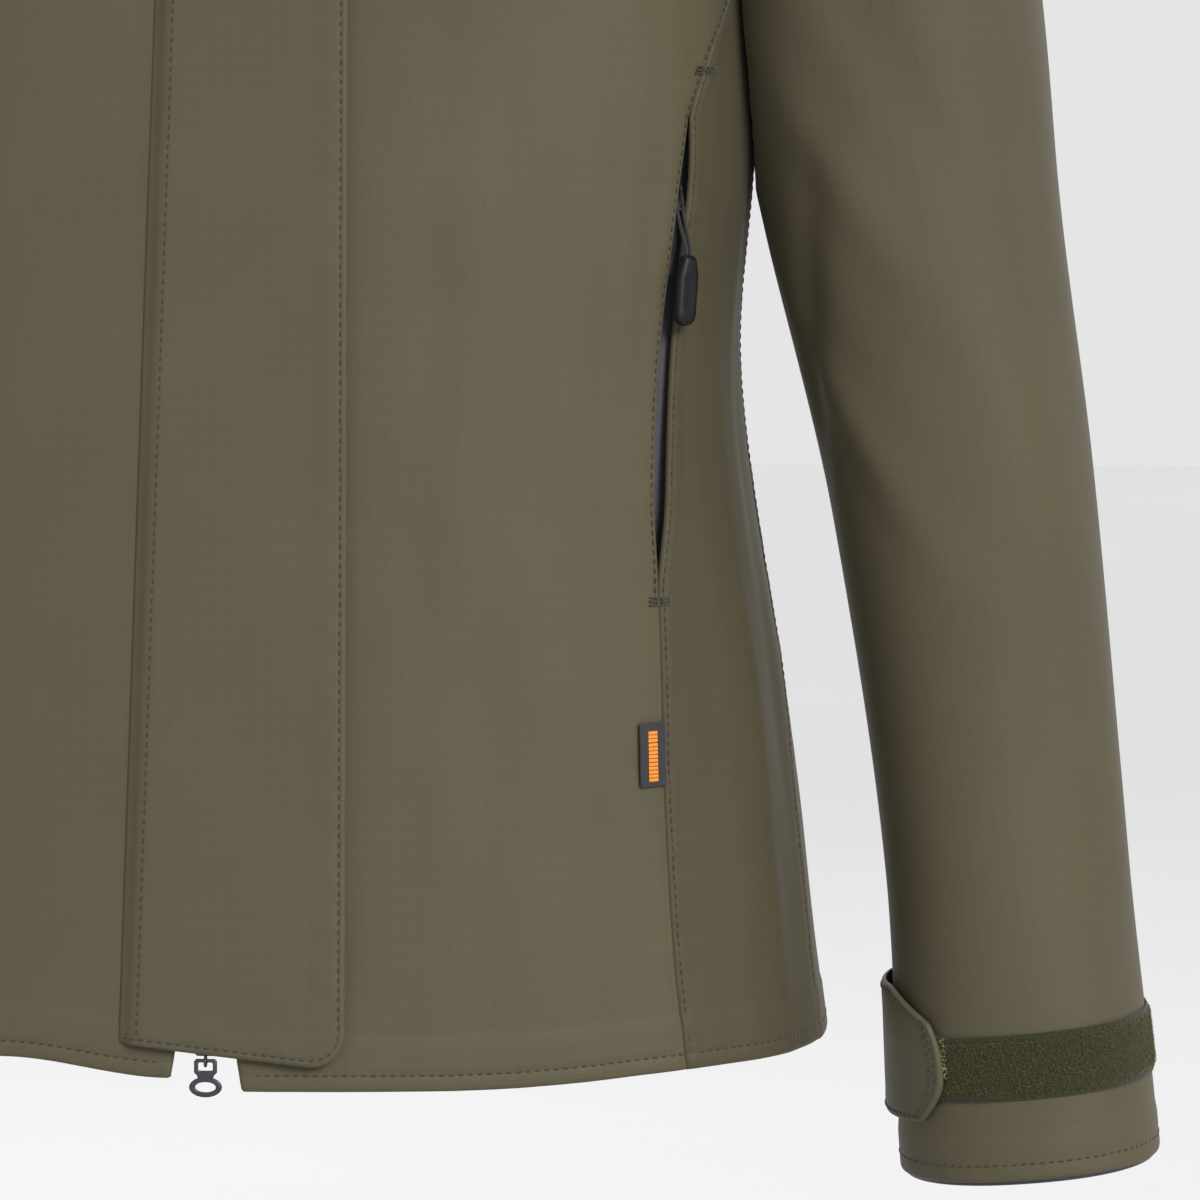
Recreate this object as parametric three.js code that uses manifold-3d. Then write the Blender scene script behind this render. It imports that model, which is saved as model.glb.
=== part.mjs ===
// A women's waterproof shell jacket: fitted body, storm flap over a two-way zip,
// slanted zip pockets in the princess seams, stand collar and cuffs with touch-tape tabs.
// Millimetres, +Z up, the front faces -Y and the wearer's left side is +X.
// The origin is the top of the hanger loop at the nape.
import * as THREE from "three";
import { mergeVertices } from "three/addons/utils/BufferGeometryUtils.js";
import Module from "manifold-3d";

const wasm = await Module();
wasm.setup();

// ---------------------------------------------------------------- driving dimensions

// Body heights: the nape is measured up from the hem, the others down from the nape.
const NAPE_HEIGHT = 700;
const COLLAR_HEIGHT = 70;
const SHOULDER_DROP = 64;
const ARMHOLE_DEPTH = 181;
const WAIST_DROP = 435;

// Body half widths, and half depths to the back.
const HEM_HALF_WIDTH = 224;
const WAIST_HALF_WIDTH = 188.5;
const RIB_HALF_WIDTH = 194;
const CHEST_HALF_WIDTH = 197;
const NECK_HALF_WIDTH = 67;
const HEM_BACK_DEPTH = 128;
const WAIST_BACK_DEPTH = 98;
const CHEST_BACK_DEPTH = 122;
const NECK_BACK_DEPTH = 60;

// The zip line is straight: its depth at the hem, and how far it leans back as it rises.
const HEM_FRONT_DEPTH = 127;
const FRONT_LEAN = 0.068;
const FRONT_NECK_DROP = 70;
const BUST_FULLNESS = 13;

const SHELL = 2; // padded thickness of shell fabric with its seam allowances
const LINING = 1.2;
const LINING_CLEAR = 3.2; // between the body's shell and lining
const SLEEVE_LINING_CLEAR = 2.8;
const NECK_SEAM_BELOW = 0.5;
const NECK_SEAM_ABOVE = 0.8;
const GAP = 0.3; // between pieces that lie on each other
const SIDE_HEM_LIFT = 4;
const RIGHT_CORNER_LIFT = 4.7;
const RIGHT_FRONT_LIFT = 6.5;

// Front zip.
const FRONT_EDGE = 8; // from the zip line to the edge of a front panel
const EDGE_FLARE = 5.5;
const FLARE_HEIGHT = 60;
const TAPE_OUT = 14;
const TAPE_CLEAR = 0.8; // behind the front panels
const TAPE_THICKNESS = 0.8;
const CHAIN_WIDTH = 2.4;
const CHAIN_SLOT = 0.9; // from the zip line to the inner side of a chain
const CHAIN_DEPTH = 2.6;
const ZIP_FOOT = 14;
const PIN_LENGTH = 8;
const SLIDER_HALF_WIDTH = 5;
const SLIDER_LENGTH = 13.6;
const SLIDER_PLATE = 1.4;
const SLIDER_POST = 0.6;
const LUG_RADIUS = 2.2;
const LUG_HOLE = 1.3;
const LUG_HALF_WIDTH = 1.1;
const PULL_THICKNESS = 1.6;
const PULL_LENGTH = 14;
const PULL_HALF_WIDTH = 4.5;
const PULL_RING_WIDTH = 12;
const PULL_RING_HEIGHT = 7.4;
const PULL_PIVOT_OUT = 1;

// Storm flap.
const FLAP_THICKNESS = 1.6;
const FLAP_STAND_OFF = 3.8;
const FLAP_ROOT_CLEAR = 0.8;
const FLAP_ROOT_AT_FOOT = -31.5;
const FLAP_ROOT_SLANT = 0.0328;
const FLAP_FREE_EDGE = 51;
const FLAP_CORNER = 12;
const FLAP_FOOT_ROOT = 17.3;
const FLAP_FOOT_FREE = 9.4;
const PATCH_WIDTH = 16;
const PATCH_LENGTH = 40;
const PATCH_THICKNESS = 1;
const PATCH_CLEAR = 0.9;
const PATCH_COUNT = 3;
const PATCH_FIRST = 120;
const PATCH_PITCH = 222;
const PATCH_IN = 5; // from the free edge of the flap to its hook patches

// Hand pockets.
const POCKET_BOTTOM = 180;
const POCKET_TOP = 352;
const POCKET_INSET = 8; // the zip lies this deep at both ends of the slit
const SLIT_HALF_WIDTH = 6.6;
const POCKET_TAPE_WIDTH = 20;
const POCKET_SLIDER_WIDTH = 5.2;
const POCKET_SLIDER_LENGTH = 10;
const POCKET_SLIDER_START = 20; // below the upper end of the slit
const POCKET_CORD = 1.4;
const POCKET_CORD_TURN = 2.8;
const POCKET_CORD_LENGTH = 24;
const GRIP_LENGTH = 26;
const GRIP_WIDTH = 9;
const GRIP_THICKNESS = 5;
const GRIP_CLEAR = 1.4; // from the fabric to the back of the grip
const BAG_REACH = 34; // degrees round the body from the slit towards the zip
const BAG_BELOW = 60;
const BAG_DEPTH = 9;

// Sleeves: the drop is measured down from the shoulder to the cuff's edge.
const SLEEVE_DROP = 679;
const UPPER_SLEEVE_HALF_WIDTH = 63;
const ELBOW_HALF_WIDTH = 53;
const CUFF_HALF_WIDTH = 49;
const CUFF_X = 300;
const CUFF_Y = -9;
const SLEEVE_CLEAR = 1.9; // from the body to the inside of the sleeve where it hangs

// Cuffs: heights are measured up from the cuff's edge, angles round the sleeve.
const TAPE_LOW = 30.5;
const TAPE_HIGH = 54.5;
const TAPE_FROM = -142;
const TAPE_TO = 80;
const TAB_LOW = 22.7;
const TAB_HIGH = 72;
const TAB_ROOT = 140;
const TAB_END = 236;
const TAB_CORNER = 10;
const FACING_HEIGHT = 58;
const FACING_SHOWS = 1.5;

// Small pieces.
const LABEL_WIDTH = 11.5;
const LABEL_LOW = 108;
const LABEL_HIGH = 131;
const LOOP_IN = 2 * SHELL + 1.9; // from the outside of the collar to the ends of the loop
const LOOP_BOW = 9;
const LOOP_STRAP = 6;
const LOOP_THICKNESS = 1.5;
const GUARD_FROM = -24;
const GUARD_TO = 26;
const GUARD_THICKNESS = 0.8;
const GUARD_CLEAR = 0.7;
const GUARD_FOOT = 30;
const GUARD_BELOW_TOP = 100;

// ---------------------------------------------------------------- derived heights

const SHOULDER = NAPE_HEIGHT - SHOULDER_DROP;
const UNDERARM = SHOULDER - ARMHOLE_DEPTH;
const WAIST = NAPE_HEIGHT - WAIST_DROP;
const NECK = NAPE_HEIGHT - 5;
const COLLAR_TOP = NECK + COLLAR_HEIGHT;
const ZIP_TOP = COLLAR_TOP - FRONT_NECK_DROP - 5;
const YOKE_SEAM = SHOULDER - 76;
const LOOP_TOP = NECK + 1 + LOOP_STRAP;
const SEAM = GAP / 2;

// ---------------------------------------------------------------- colours

function cloth(colour, roughness = 0.75) {
  return new THREE.MeshStandardMaterial({ color: colour, roughness, metalness: 0 });
}
const OLIVE = cloth(0x68614b);
const OLIVE_DARK = cloth(0x5d5741);
const NAVY = cloth(0x22242b);
const ZIP_CLOTH = cloth(0x2f2d2d);
const LOOP_PILE = cloth(0x413e21, 0.95);
const HOOK_TAPE = cloth(0x4a4a30, 0.9);
const LABEL_CLOTH = cloth(0x1f1d20);
const MOULDED = cloth(0x1b1a1d, 0.5);
const GUNMETAL = new THREE.MeshStandardMaterial({ color: 0x3f3b42, roughness: 0.35, metalness: 0.9 });

// ---------------------------------------------------------------- plain geometry helpers

const radians = THREE.MathUtils.degToRad;
const lerp = THREE.MathUtils.lerp;
const smooth = (x, low, high) => THREE.MathUtils.smoothstep(x, low, high);
const signedPower = (x, power) => Math.sign(x) * Math.abs(x) ** power;

// A smooth curve through [position, value] stations that never overshoots them.
function curve(stations) {
  const xs = stations.map((s) => s[0]);
  const ys = stations.map((s) => s[1]);
  const last = xs.length - 1;
  const slopes = xs.slice(1).map((x, i) => (ys[i + 1] - ys[i]) / (x - xs[i]));
  const tangents = xs.map((_, i) => {
    if (i === 0) return slopes[0];
    if (i === last) return slopes[last - 1];
    const [a, b] = [slopes[i - 1], slopes[i]];
    return a * b > 0 ? (2 * a * b) / (a + b) : 0;
  });
  return (at) => {
    const x = Math.min(Math.max(at, xs[0]), xs[last]);
    const i = Math.min(Math.max(xs.findIndex((v) => v > x) - 1, 0), last - 1);
    const k = x >= xs[last] ? last - 1 : i;
    const span = xs[k + 1] - xs[k];
    const t = (x - xs[k]) / span;
    return (
      (1 + 2 * t) * (1 - t) ** 2 * ys[k] +
      t * (1 - t) ** 2 * span * tangents[k] +
      t * t * (3 - 2 * t) * ys[k + 1] +
      t * t * (t - 1) * span * tangents[k + 1]
    );
  };
}

// Evenly spaced numbers from a to b, in n steps.
function steps(a, b, n) {
  return Array.from({ length: n + 1 }, (_, i) => lerp(a, b, i / n));
}

function fromTriangles(points, triangles) {
  const geometry = new THREE.BufferGeometry();
  geometry.setAttribute("position", new THREE.Float32BufferAttribute(points.flat(), 3));
  geometry.setIndex(triangles.flat());
  return geometry;
}

// A closed sheet between an outer and an inner grid of points, both [row][column].
// Seen from outside, columns run to the right and rows run up.
function sheet(outer, inner) {
  const rows = outer.length;
  const columns = outer[0].length;
  const at = (r, c) => r * columns + c;
  const back = (r, c) => rows * columns + at(r, c);
  const triangles = [];
  const quad = (a, b, c, d) => triangles.push([a, b, c], [a, c, d]);
  for (let r = 0; r < rows - 1; r++) {
    for (let c = 0; c < columns - 1; c++) {
      quad(at(r, c), at(r, c + 1), at(r + 1, c + 1), at(r + 1, c));
      quad(back(r, c), back(r + 1, c), back(r + 1, c + 1), back(r, c + 1));
    }
    const end = columns - 1;
    quad(at(r, 0), at(r + 1, 0), back(r + 1, 0), back(r, 0));
    quad(at(r, end), back(r, end), back(r + 1, end), at(r + 1, end));
  }
  for (let c = 0; c < columns - 1; c++) {
    const top = rows - 1;
    quad(at(0, c), back(0, c), back(0, c + 1), at(0, c + 1));
    quad(at(top, c), at(top, c + 1), back(top, c + 1), back(top, c));
  }
  return fromTriangles([...outer.flat(), ...inner.flat()], triangles);
}

// A closed solid through rings of points, each ring seen anticlockwise from its far end.
function loft(rings) {
  const count = rings[0].length;
  const points = rings.flat();
  const triangles = [];
  for (let r = 0; r < rings.length - 1; r++) {
    for (let c = 0; c < count; c++) {
      const a = r * count + c;
      const b = r * count + ((c + 1) % count);
      triangles.push([a, b, b + count], [a, b + count, a + count]);
    }
  }
  const middle = (ring) => [0, 1, 2].map((k) => ring.reduce((sum, p) => sum + p[k], 0) / count);
  const first = points.push(middle(rings[0])) - 1;
  const last = points.push(middle(rings[rings.length - 1])) - 1;
  const start = (rings.length - 1) * count;
  for (let c = 0; c < count; c++) {
    const next = (c + 1) % count;
    triangles.push([first, next, c], [last, start + c, start + next]);
  }
  return fromTriangles(points, triangles);
}

// The same geometry on the other side of the body.
function mirrored(geometry) {
  const copy = geometry.clone();
  copy.scale(-1, 1, 1);
  const index = copy.getIndex();
  for (let i = 0; i < index.count; i += 3) {
    const b = index.getX(i + 1);
    index.setX(i + 1, index.getX(i + 2));
    index.setX(i + 2, b);
  }
  return copy;
}
const onSide = (side, geometry) => (side > 0 ? geometry : mirrored(geometry));

// ---------------------------------------------------------------- joining and cutting

function solidOf(geometry) {
  const bare = geometry.clone();
  bare.deleteAttribute("normal");
  bare.deleteAttribute("uv");
  const merged = mergeVertices(bare, 1e-4);
  return new wasm.Manifold(
    new wasm.Mesh({
      numProp: 3,
      vertProperties: new Float32Array(merged.getAttribute("position").array),
      triVerts: new Uint32Array(merged.getIndex().array),
    }),
  );
}

function geometryOf(solid) {
  const mesh = solid.getMesh();
  const geometry = new THREE.BufferGeometry();
  geometry.setAttribute("position", new THREE.BufferAttribute(mesh.vertProperties, 3));
  geometry.setIndex(new THREE.BufferAttribute(mesh.triVerts, 1));
  return geometry;
}

function cut(geometry, ...tools) {
  return geometryOf(tools.reduce((solid, tool) => solid.subtract(solidOf(tool)), solidOf(geometry)));
}

function joined(...geometries) {
  return geometryOf(geometries.map(solidOf).reduce((a, b) => a.add(b)));
}

// An axis-aligned box between two corners.
function block(low, high) {
  const size = high.map((v, i) => v - low[i]);
  const middle = high.map((v, i) => (v + low[i]) / 2);
  return new THREE.BoxGeometry(...size).translate(...middle);
}

// A flat shape in (x, z), extruded through thickness along y and centred on it.
function plate(shape, thickness, curveSegments = 5) {
  const geometry = new THREE.ExtrudeGeometry(shape, {
    depth: thickness,
    bevelEnabled: false,
    curveSegments,
  });
  return geometry.rotateX(Math.PI / 2).translate(0, thickness / 2, 0);
}

function outline(points) {
  return new THREE.Shape(points.map(([x, y]) => new THREE.Vector2(x, y)));
}

// ---------------------------------------------------------------- the body's surface

const halfWidth = curve([
  [0, HEM_HALF_WIDTH],
  [WAIST / 2, (HEM_HALF_WIDTH + WAIST_HALF_WIDTH) / 2],
  [WAIST, WAIST_HALF_WIDTH],
  [UNDERARM - 107, RIB_HALF_WIDTH],
  [UNDERARM - 35, RIB_HALF_WIDTH - 3],
  [UNDERARM + 45, CHEST_HALF_WIDTH - 1],
  [SHOULDER, CHEST_HALF_WIDTH],
  [SHOULDER + 16, CHEST_HALF_WIDTH - 21],
  [SHOULDER + 32, CHEST_HALF_WIDTH - 59],
  [SHOULDER + 46, NECK_HALF_WIDTH + 33],
  [NECK, NECK_HALF_WIDTH + 3],
  [NECK + 11, NECK_HALF_WIDTH - 2],
  [COLLAR_TOP, NECK_HALF_WIDTH + 2],
]);
const backDepth = curve([
  [0, HEM_BACK_DEPTH],
  [WAIST, WAIST_BACK_DEPTH],
  [UNDERARM - 63, CHEST_BACK_DEPTH - 10],
  [UNDERARM + 65, CHEST_BACK_DEPTH],
  [SHOULDER - 36, CHEST_BACK_DEPTH - 10],
  [SHOULDER + 16, NECK_BACK_DEPTH + 24],
  [NECK, NECK_BACK_DEPTH],
  [NECK + 11, NECK_BACK_DEPTH - 2],
  [COLLAR_TOP, NECK_BACK_DEPTH + 6],
]);
// How much lower a ring lies at the front than at the sides.
const frontDrop = curve([
  [0, 0],
  [UNDERARM - 55, 0],
  [SHOULDER - 76, FRONT_NECK_DROP - 40],
  [SHOULDER + 4, FRONT_NECK_DROP - 8],
  [NECK, FRONT_NECK_DROP],
  [COLLAR_TOP, FRONT_NECK_DROP],
]);
const squareness = curve([
  [0, 2.35],
  [WAIST / 2, 2.42],
  [WAIST, 2.62],
  [UNDERARM - 63, 2.5],
  [SHOULDER - 76, 2.6],
  [SHOULDER + 4, 2.4],
  [NECK, 2.6],
  [COLLAR_TOP, 2.6],
]);
const frontDepth = (h) => HEM_FRONT_DEPTH - FRONT_LEAN * (h - frontDrop(h));

// A point of the bare surface. Angle 0 is the wearer's left side, -90 the front.
function bodyPoint(degrees, h) {
  const c = Math.cos(radians(degrees));
  const s = Math.sin(radians(degrees));
  const n = squareness(h);
  const x = halfWidth(h) * signedPower(c, 2 / n);
  const depth = s < 0 ? frontDepth(h) : backDepth(h);
  const drop = s < 0 ? frontDrop(h) * Math.abs(s) ** (3 / n) : 0;
  const z = h - drop;
  const bustRow = SHOULDER - 136;
  const bust = Math.exp(-(((Math.abs(x) - 92) / 42) ** 2) - ((z - bustRow) / 75) ** 2);
  const y = depth * signedPower(s, 2 / n) - (s < 0 ? BUST_FULLNESS * bust * smooth(-s, 0, 0.4) : 0);
  return new THREE.Vector3(x, y, z);
}

function bodyNormal(degrees, h) {
  const across = bodyPoint(degrees + 0.2, h).sub(bodyPoint(degrees - 0.2, h));
  const up = bodyPoint(degrees, h + 0.5).sub(bodyPoint(degrees, h - 0.5));
  return across.cross(up).normalize();
}

// A point at a distance outside the surface (negative: inside).
function bodyOffset(degrees, h, off) {
  return bodyPoint(degrees, h).addScaledVector(bodyNormal(degrees, h), off).toArray();
}

// The angle at which the front of a ring reaches a given x.
function angleAt(x, h) {
  const share = Math.min(Math.abs(x) / halfWidth(h), 1);
  const angle = THREE.MathUtils.radToDeg(Math.acos(share ** (squareness(h) / 2)));
  return x >= 0 ? -angle : -180 + angle;
}

// The lift of the hem above the hem plane.
function hemLift(degrees, side) {
  const x = Math.abs(bodyPoint(degrees, 0).x);
  const sides = SIDE_HEM_LIFT * smooth(x, 90, 200);
  const front = Math.sin(radians(degrees)) < 0;
  if (side > 0 || !front) return sides;
  const corner = RIGHT_CORNER_LIFT + RIGHT_FRONT_LIFT * smooth(x, 14, 74);
  return lerp(corner, sides, smooth(x, 90, 200));
}

// A body sheet. low and high give its angles at each height of rows; offsets may be functions.
function bodySheet(rows, columns, low, high, outerOff, innerOff, side = 1) {
  const off = (value, degrees, h) => (typeof value === "function" ? value(degrees, h) : value);
  const grid = (distance) =>
    rows.map((row) =>
      steps(low(row), high(row), columns).map((degrees) => {
        const h = row + hemLift(degrees, side) * (1 - smooth(row, 0, 120));
        return bodyOffset(degrees, h, off(distance, degrees, h));
      }),
    );
  return onSide(side, sheet(grid(outerOff), grid(innerOff)));
}

// ---------------------------------------------------------------- seam lines on the body

const princessSeam = curve([
  [0, -41.9],
  [40, -42.3],
  [102, -41.4],
  [143, -40.2],
  [POCKET_BOTTOM, -38.7],
  [256, -35.3],
  [POCKET_TOP - 10, -31.6],
  [POCKET_TOP + 23, -24.2],
  [POCKET_TOP + 48, -14.5],
  [POCKET_TOP + 103, -6],
]);
const sideSeam = curve([
  [0, -9],
  [80, -6],
  [180, 3],
  [UNDERARM, 8],
]);

// The angle round the body that is one millimetre long at the front.
const anglePerMm = (h) => 90 / (1.55 * (halfWidth(h) * 0.5 + frontDepth(h) * 0.5));

const SLIT_BOTTOM = bodyPoint(princessSeam(POCKET_BOTTOM), POCKET_BOTTOM);
const SLIT_TOP = bodyPoint(princessSeam(POCKET_TOP), POCKET_TOP);

// The slit of a pocket runs straight between its ends; above and below it is the seam.
function slitAngle(h) {
  if (h <= POCKET_BOTTOM || h >= POCKET_TOP) return princessSeam(h);
  const point = SLIT_BOTTOM.clone().lerp(SLIT_TOP, (h - POCKET_BOTTOM) / (POCKET_TOP - POCKET_BOTTOM));
  const power = squareness(h) / 2;
  const across = (point.x / halfWidth(h)) ** power;
  const forward = (-point.y / frontDepth(h)) ** power;
  return -THREE.MathUtils.radToDeg(Math.atan2(forward, across));
}

function frontEdgeX(h) {
  return FRONT_EDGE + EDGE_FLARE * (1 - Math.min(h / FLARE_HEIGHT, 1)) ** 2;
}

// Above the underarm the front and back panels meet on the shoulder line.
const onShoulder = (h) => h > UNDERARM + 2;

function frontPanelSide(h) {
  if (onShoulder(h)) return -SEAM * anglePerMm(h);
  return slitAngle(h) - slitHalfAngle(h) - SEAM * anglePerMm(h);
}

// The slit opens between the two ends of the pocket.
function slitHalfAngle(h) {
  const open = smooth(h, POCKET_BOTTOM - 8, POCKET_BOTTOM + 12) * (1 - smooth(h, POCKET_TOP, POCKET_TOP + 12));
  return SLIT_HALF_WIDTH * open * anglePerMm(h);
}

const BODY_ROWS = [0, 40, 90, 143, POCKET_BOTTOM, 220, 262, 305, POCKET_TOP - 10, POCKET_TOP + 10, 390, 420];
BODY_ROWS.push(UNDERARM - 0.5);
const CHEST_ROWS = [UNDERARM + 3, UNDERARM + 30, UNDERARM + 60, YOKE_SEAM - SEAM];
const SHOULDER_ROWS = [YOKE_SEAM + 38, SHOULDER, SHOULDER + 16, SHOULDER + 32, SHOULDER + 46];
const LINING_SEAM_ANGLE = 0.12;
const LINING_ROWS = [40, 90, 143, POCKET_BOTTOM, 262, POCKET_TOP - 10, POCKET_TOP + 10, 390, 420];
LINING_ROWS.push(UNDERARM + 3, UNDERARM + 60, YOKE_SEAM - SEAM, ...SHOULDER_ROWS, NECK - 1);

// ---------------------------------------------------------------- body panels

function frontPanel(side) {
  const rows = [...BODY_ROWS, ...CHEST_ROWS, ...SHOULDER_ROWS, NECK - NECK_SEAM_BELOW];
  const low = (h) => angleAt(frontEdgeX(h), h);
  return bodySheet(rows, 7, low, frontPanelSide, 0, -SHELL, side);
}

function sidePanel(side) {
  const low = (h) => slitAngle(h) + slitHalfAngle(h) + SEAM * anglePerMm(h);
  const high = (h) => sideSeam(h) - SEAM * anglePerMm(h);
  return bodySheet(BODY_ROWS, 4, low, high, 0, -SHELL, side);
}

const backLow = (h) => (onShoulder(h) ? SEAM * anglePerMm(h) : sideSeam(h) + SEAM * anglePerMm(h));
const backHigh = (h) => 180 - backLow(h);
const BACK_COLUMNS = 12;

function backPanel() {
  return bodySheet([...BODY_ROWS, ...CHEST_ROWS], BACK_COLUMNS, backLow, backHigh, 0, -SHELL);
}

function yoke() {
  const rows = [YOKE_SEAM + SEAM, ...SHOULDER_ROWS, NECK - NECK_SEAM_BELOW];
  return bodySheet(rows, BACK_COLUMNS, backLow, backHigh, 0, -SHELL);
}

function collar(outerOff, innerOff) {
  const rows = [NECK + NECK_SEAM_ABOVE, NECK + 11, NECK + 36, COLLAR_TOP];
  const low = (h) => angleAt(TAPE_OUT + 0.8, h);
  return bodySheet(rows, 18, low, (h) => 180 - low(h), outerOff, innerOff);
}

// The lining bows inwards round the pocket bag and the pocket zip.
function frontLiningOff(degrees, h) {
  const along = smooth(h, POCKET_BOTTOM - BAG_BELOW - 45, POCKET_BOTTOM - BAG_BELOW) *
    (1 - smooth(h, POCKET_TOP + 12, POCKET_TOP + 60));
  const round = smooth(degrees, -86, -74) * (1 - smooth(degrees, princessSeam(h) + 9, princessSeam(h) + 24));
  return -SHELL - LINING_CLEAR - (POCKET_INSET + BAG_DEPTH + 1) * along * round;
}

function frontLining(side) {
  const low = (h) => angleAt(side > 0 ? GUARD_TO + 0.6 : 2 - GUARD_FROM, h);
  const high = (h) => (onShoulder(h) ? 0 : sideSeam(h)) - LINING_SEAM_ANGLE;
  const inner = (degrees, h) => frontLiningOff(degrees, h) - LINING;
  return bodySheet(LINING_ROWS, 8, low, high, frontLiningOff, inner, side);
}

function backLining() {
  const off = -SHELL - LINING_CLEAR;
  return bodySheet(LINING_ROWS, BACK_COLUMNS, backLow, backHigh, off, off - LINING);
}

// ---------------------------------------------------------------- sleeves

// Stations of the sleeve: drop of the ring's middle below the shoulder, its x, its half width,
// and how steeply the ring is tilted. The rings lean over round the sleeve head.
const CUFF_SPAN = 111; // the straight stretch above the cuff's edge
const FOREARM_FROM = ARMHOLE_DEPTH + 135;
const forearm = (share) => lerp(FOREARM_FROM, SLEEVE_DROP - CUFF_SPAN, share);
const forearmX = (share) => lerp(CHEST_HALF_WIDTH + 55.5, CUFF_X - 9.5, share);
const SLEEVE_STATIONS = [
  [ARMHOLE_DEPTH - 105, CHEST_HALF_WIDTH - 62, 91, 80],
  [ARMHOLE_DEPTH - 96, CHEST_HALF_WIDTH - 24, 92, 76],
  [ARMHOLE_DEPTH - 83, CHEST_HALF_WIDTH, 90, 73],
  [ARMHOLE_DEPTH - 62, CHEST_HALF_WIDTH + 15, 84, 66],
  [ARMHOLE_DEPTH - 31, CHEST_HALF_WIDTH + 27, 74.5, 56],
  [ARMHOLE_DEPTH + 3, CHEST_HALF_WIDTH + 35.5, UPPER_SLEEVE_HALF_WIDTH + 5, 45],
  [ARMHOLE_DEPTH + 38, CHEST_HALF_WIDTH + 42, UPPER_SLEEVE_HALF_WIDTH + 2, 35],
  [ARMHOLE_DEPTH + 83, CHEST_HALF_WIDTH + 48, UPPER_SLEEVE_HALF_WIDTH - 2, 25],
  [forearm(0), forearmX(0), ELBOW_HALF_WIDTH + 3, 14],
  [forearm(0.43), forearmX(0.526), ELBOW_HALF_WIDTH - 3, 9],
  [forearm(1), forearmX(1), CUFF_HALF_WIDTH - 3, 6],
  [SLEEVE_DROP, CUFF_X, CUFF_HALF_WIDTH, 5],
  [SLEEVE_DROP + 20, CUFF_X + 1.7, CUFF_HALF_WIDTH, 5],
];
const sleeveStation = (column) => curve(SLEEVE_STATIONS.map((station) => [station[0], station[column]]));
const sleeveX = sleeveStation(1);
const sleeveHalfWidth = sleeveStation(2);
const sleeveTilt = sleeveStation(3);
const sleeveY = curve([
  [ARMHOLE_DEPTH, 4],
  [forearm(0.43), -2],
  [SLEEVE_DROP, CUFF_Y],
]);
const sleeveHalfDepth = curve([
  [ARMHOLE_DEPTH - 105, 62],
  [ARMHOLE_DEPTH + 15, 67],
  [forearm(0), ELBOW_HALF_WIDTH + 7],
  [forearm(0.43), ELBOW_HALF_WIDTH + 1],
  [forearm(1), CUFF_HALF_WIDTH + 1],
  [SLEEVE_DROP, CUFF_HALF_WIDTH],
]);

// How far the body reaches sideways at a depth y.
function bodyReach(y, h) {
  const n = squareness(h);
  const share = Math.min(Math.abs(y) / (y < 0 ? frontDepth(h) : backDepth(h)), 1);
  return halfWidth(h) * (1 - share ** n) ** (1 / n);
}

// A point on the left sleeve. Angle 0 faces outwards, 90 backwards, -90 forwards.
// Below the underarm the sleeve is pressed flat where it hangs against the body.
function sleevePoint(degrees, drop, off) {
  const tilt = radians(sleeveTilt(drop));
  const across = new THREE.Vector3(Math.cos(tilt), 0, Math.sin(tilt));
  const c = signedPower(Math.cos(radians(degrees)), 2 / 2.2);
  const s = signedPower(Math.sin(radians(degrees)), 2 / 2.2);
  const point = new THREE.Vector3(sleeveX(drop), sleeveY(drop), SHOULDER - drop);
  point.addScaledVector(across, (sleeveHalfWidth(drop) + off) * c);
  point.y += (sleeveHalfDepth(drop) + off) * s;
  const release = 70 * smooth(point.z, UNDERARM - 8, UNDERARM + 18);
  const limit = bodyReach(point.y, Math.max(point.z, 0)) + SLEEVE_CLEAR - off - release;
  if (point.z > -20) point.x = Math.max(point.x, limit);
  return point;
}

const HEAD_DROPS = SLEEVE_STATIONS.slice(0, 8).map((station) => station[0]);
const SLEEVE_DROPS = [...HEAD_DROPS, ...[0, 0.21, 0.43, 0.72, 1].map(forearm), SLEEVE_DROP - 55, SLEEVE_DROP];
const LINING_DROPS = [...HEAD_DROPS.slice(1), ...[0, 0.43, 1].map(forearm)];

// A solid of the sleeve's whole inside, out to a distance from its surface.
function sleeveCore(off, from, to, between = SLEEVE_DROPS) {
  const drops = [from, ...between.filter((d) => d > from + 5 && d < to - 5), to];
  const round = steps(0, 360, 16).slice(0, -1);
  return loft(drops.map((drop) => round.map((a) => sleevePoint(-a, drop, off).toArray())));
}

// The whole body as one solid, grown by a distance.
function bodyCore(grow) {
  const rows = [-60, 30, 110, 190, 256, 325, 385, UNDERARM - 12, UNDERARM + 3, UNDERARM + 30, UNDERARM + 60];
  rows.push(YOKE_SEAM, ...SHOULDER_ROWS, NECK);
  const round = steps(-90, 270, 48).slice(0, -1);
  return loft(rows.map((h) => round.map((degrees) => bodyOffset(degrees, h, grow))));
}

const BODY_CORE = bodyCore(GAP + 0.6);

function tube(outerOff, innerOff, from, to, between) {
  const outside = sleeveCore(outerOff, from, to, between);
  return cut(cut(outside, sleeveCore(innerOff, from, to + 1, between)), BODY_CORE);
}

const sleeve = () => tube(0, -SHELL, SLEEVE_DROPS[0], SLEEVE_DROP);

function sleeveLining() {
  const out = -SHELL - SLEEVE_LINING_CLEAR;
  return tube(out, out - LINING, LINING_DROPS[0], SLEEVE_DROP - FACING_HEIGHT - 0.6, LINING_DROPS);
}

// The hole that a sleeve leaves in the body's panels and linings.
const LEFT_ARMHOLE = sleeveCore(-SHELL, SLEEVE_DROPS[0], FOREARM_FROM);
const RIGHT_ARMHOLE = mirrored(LEFT_ARMHOLE);
const withArmhole = (side, geometry) => cut(geometry, side > 0 ? LEFT_ARMHOLE : RIGHT_ARMHOLE);
const withArmholes = (geometry) => cut(geometry, LEFT_ARMHOLE, RIGHT_ARMHOLE);

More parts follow.
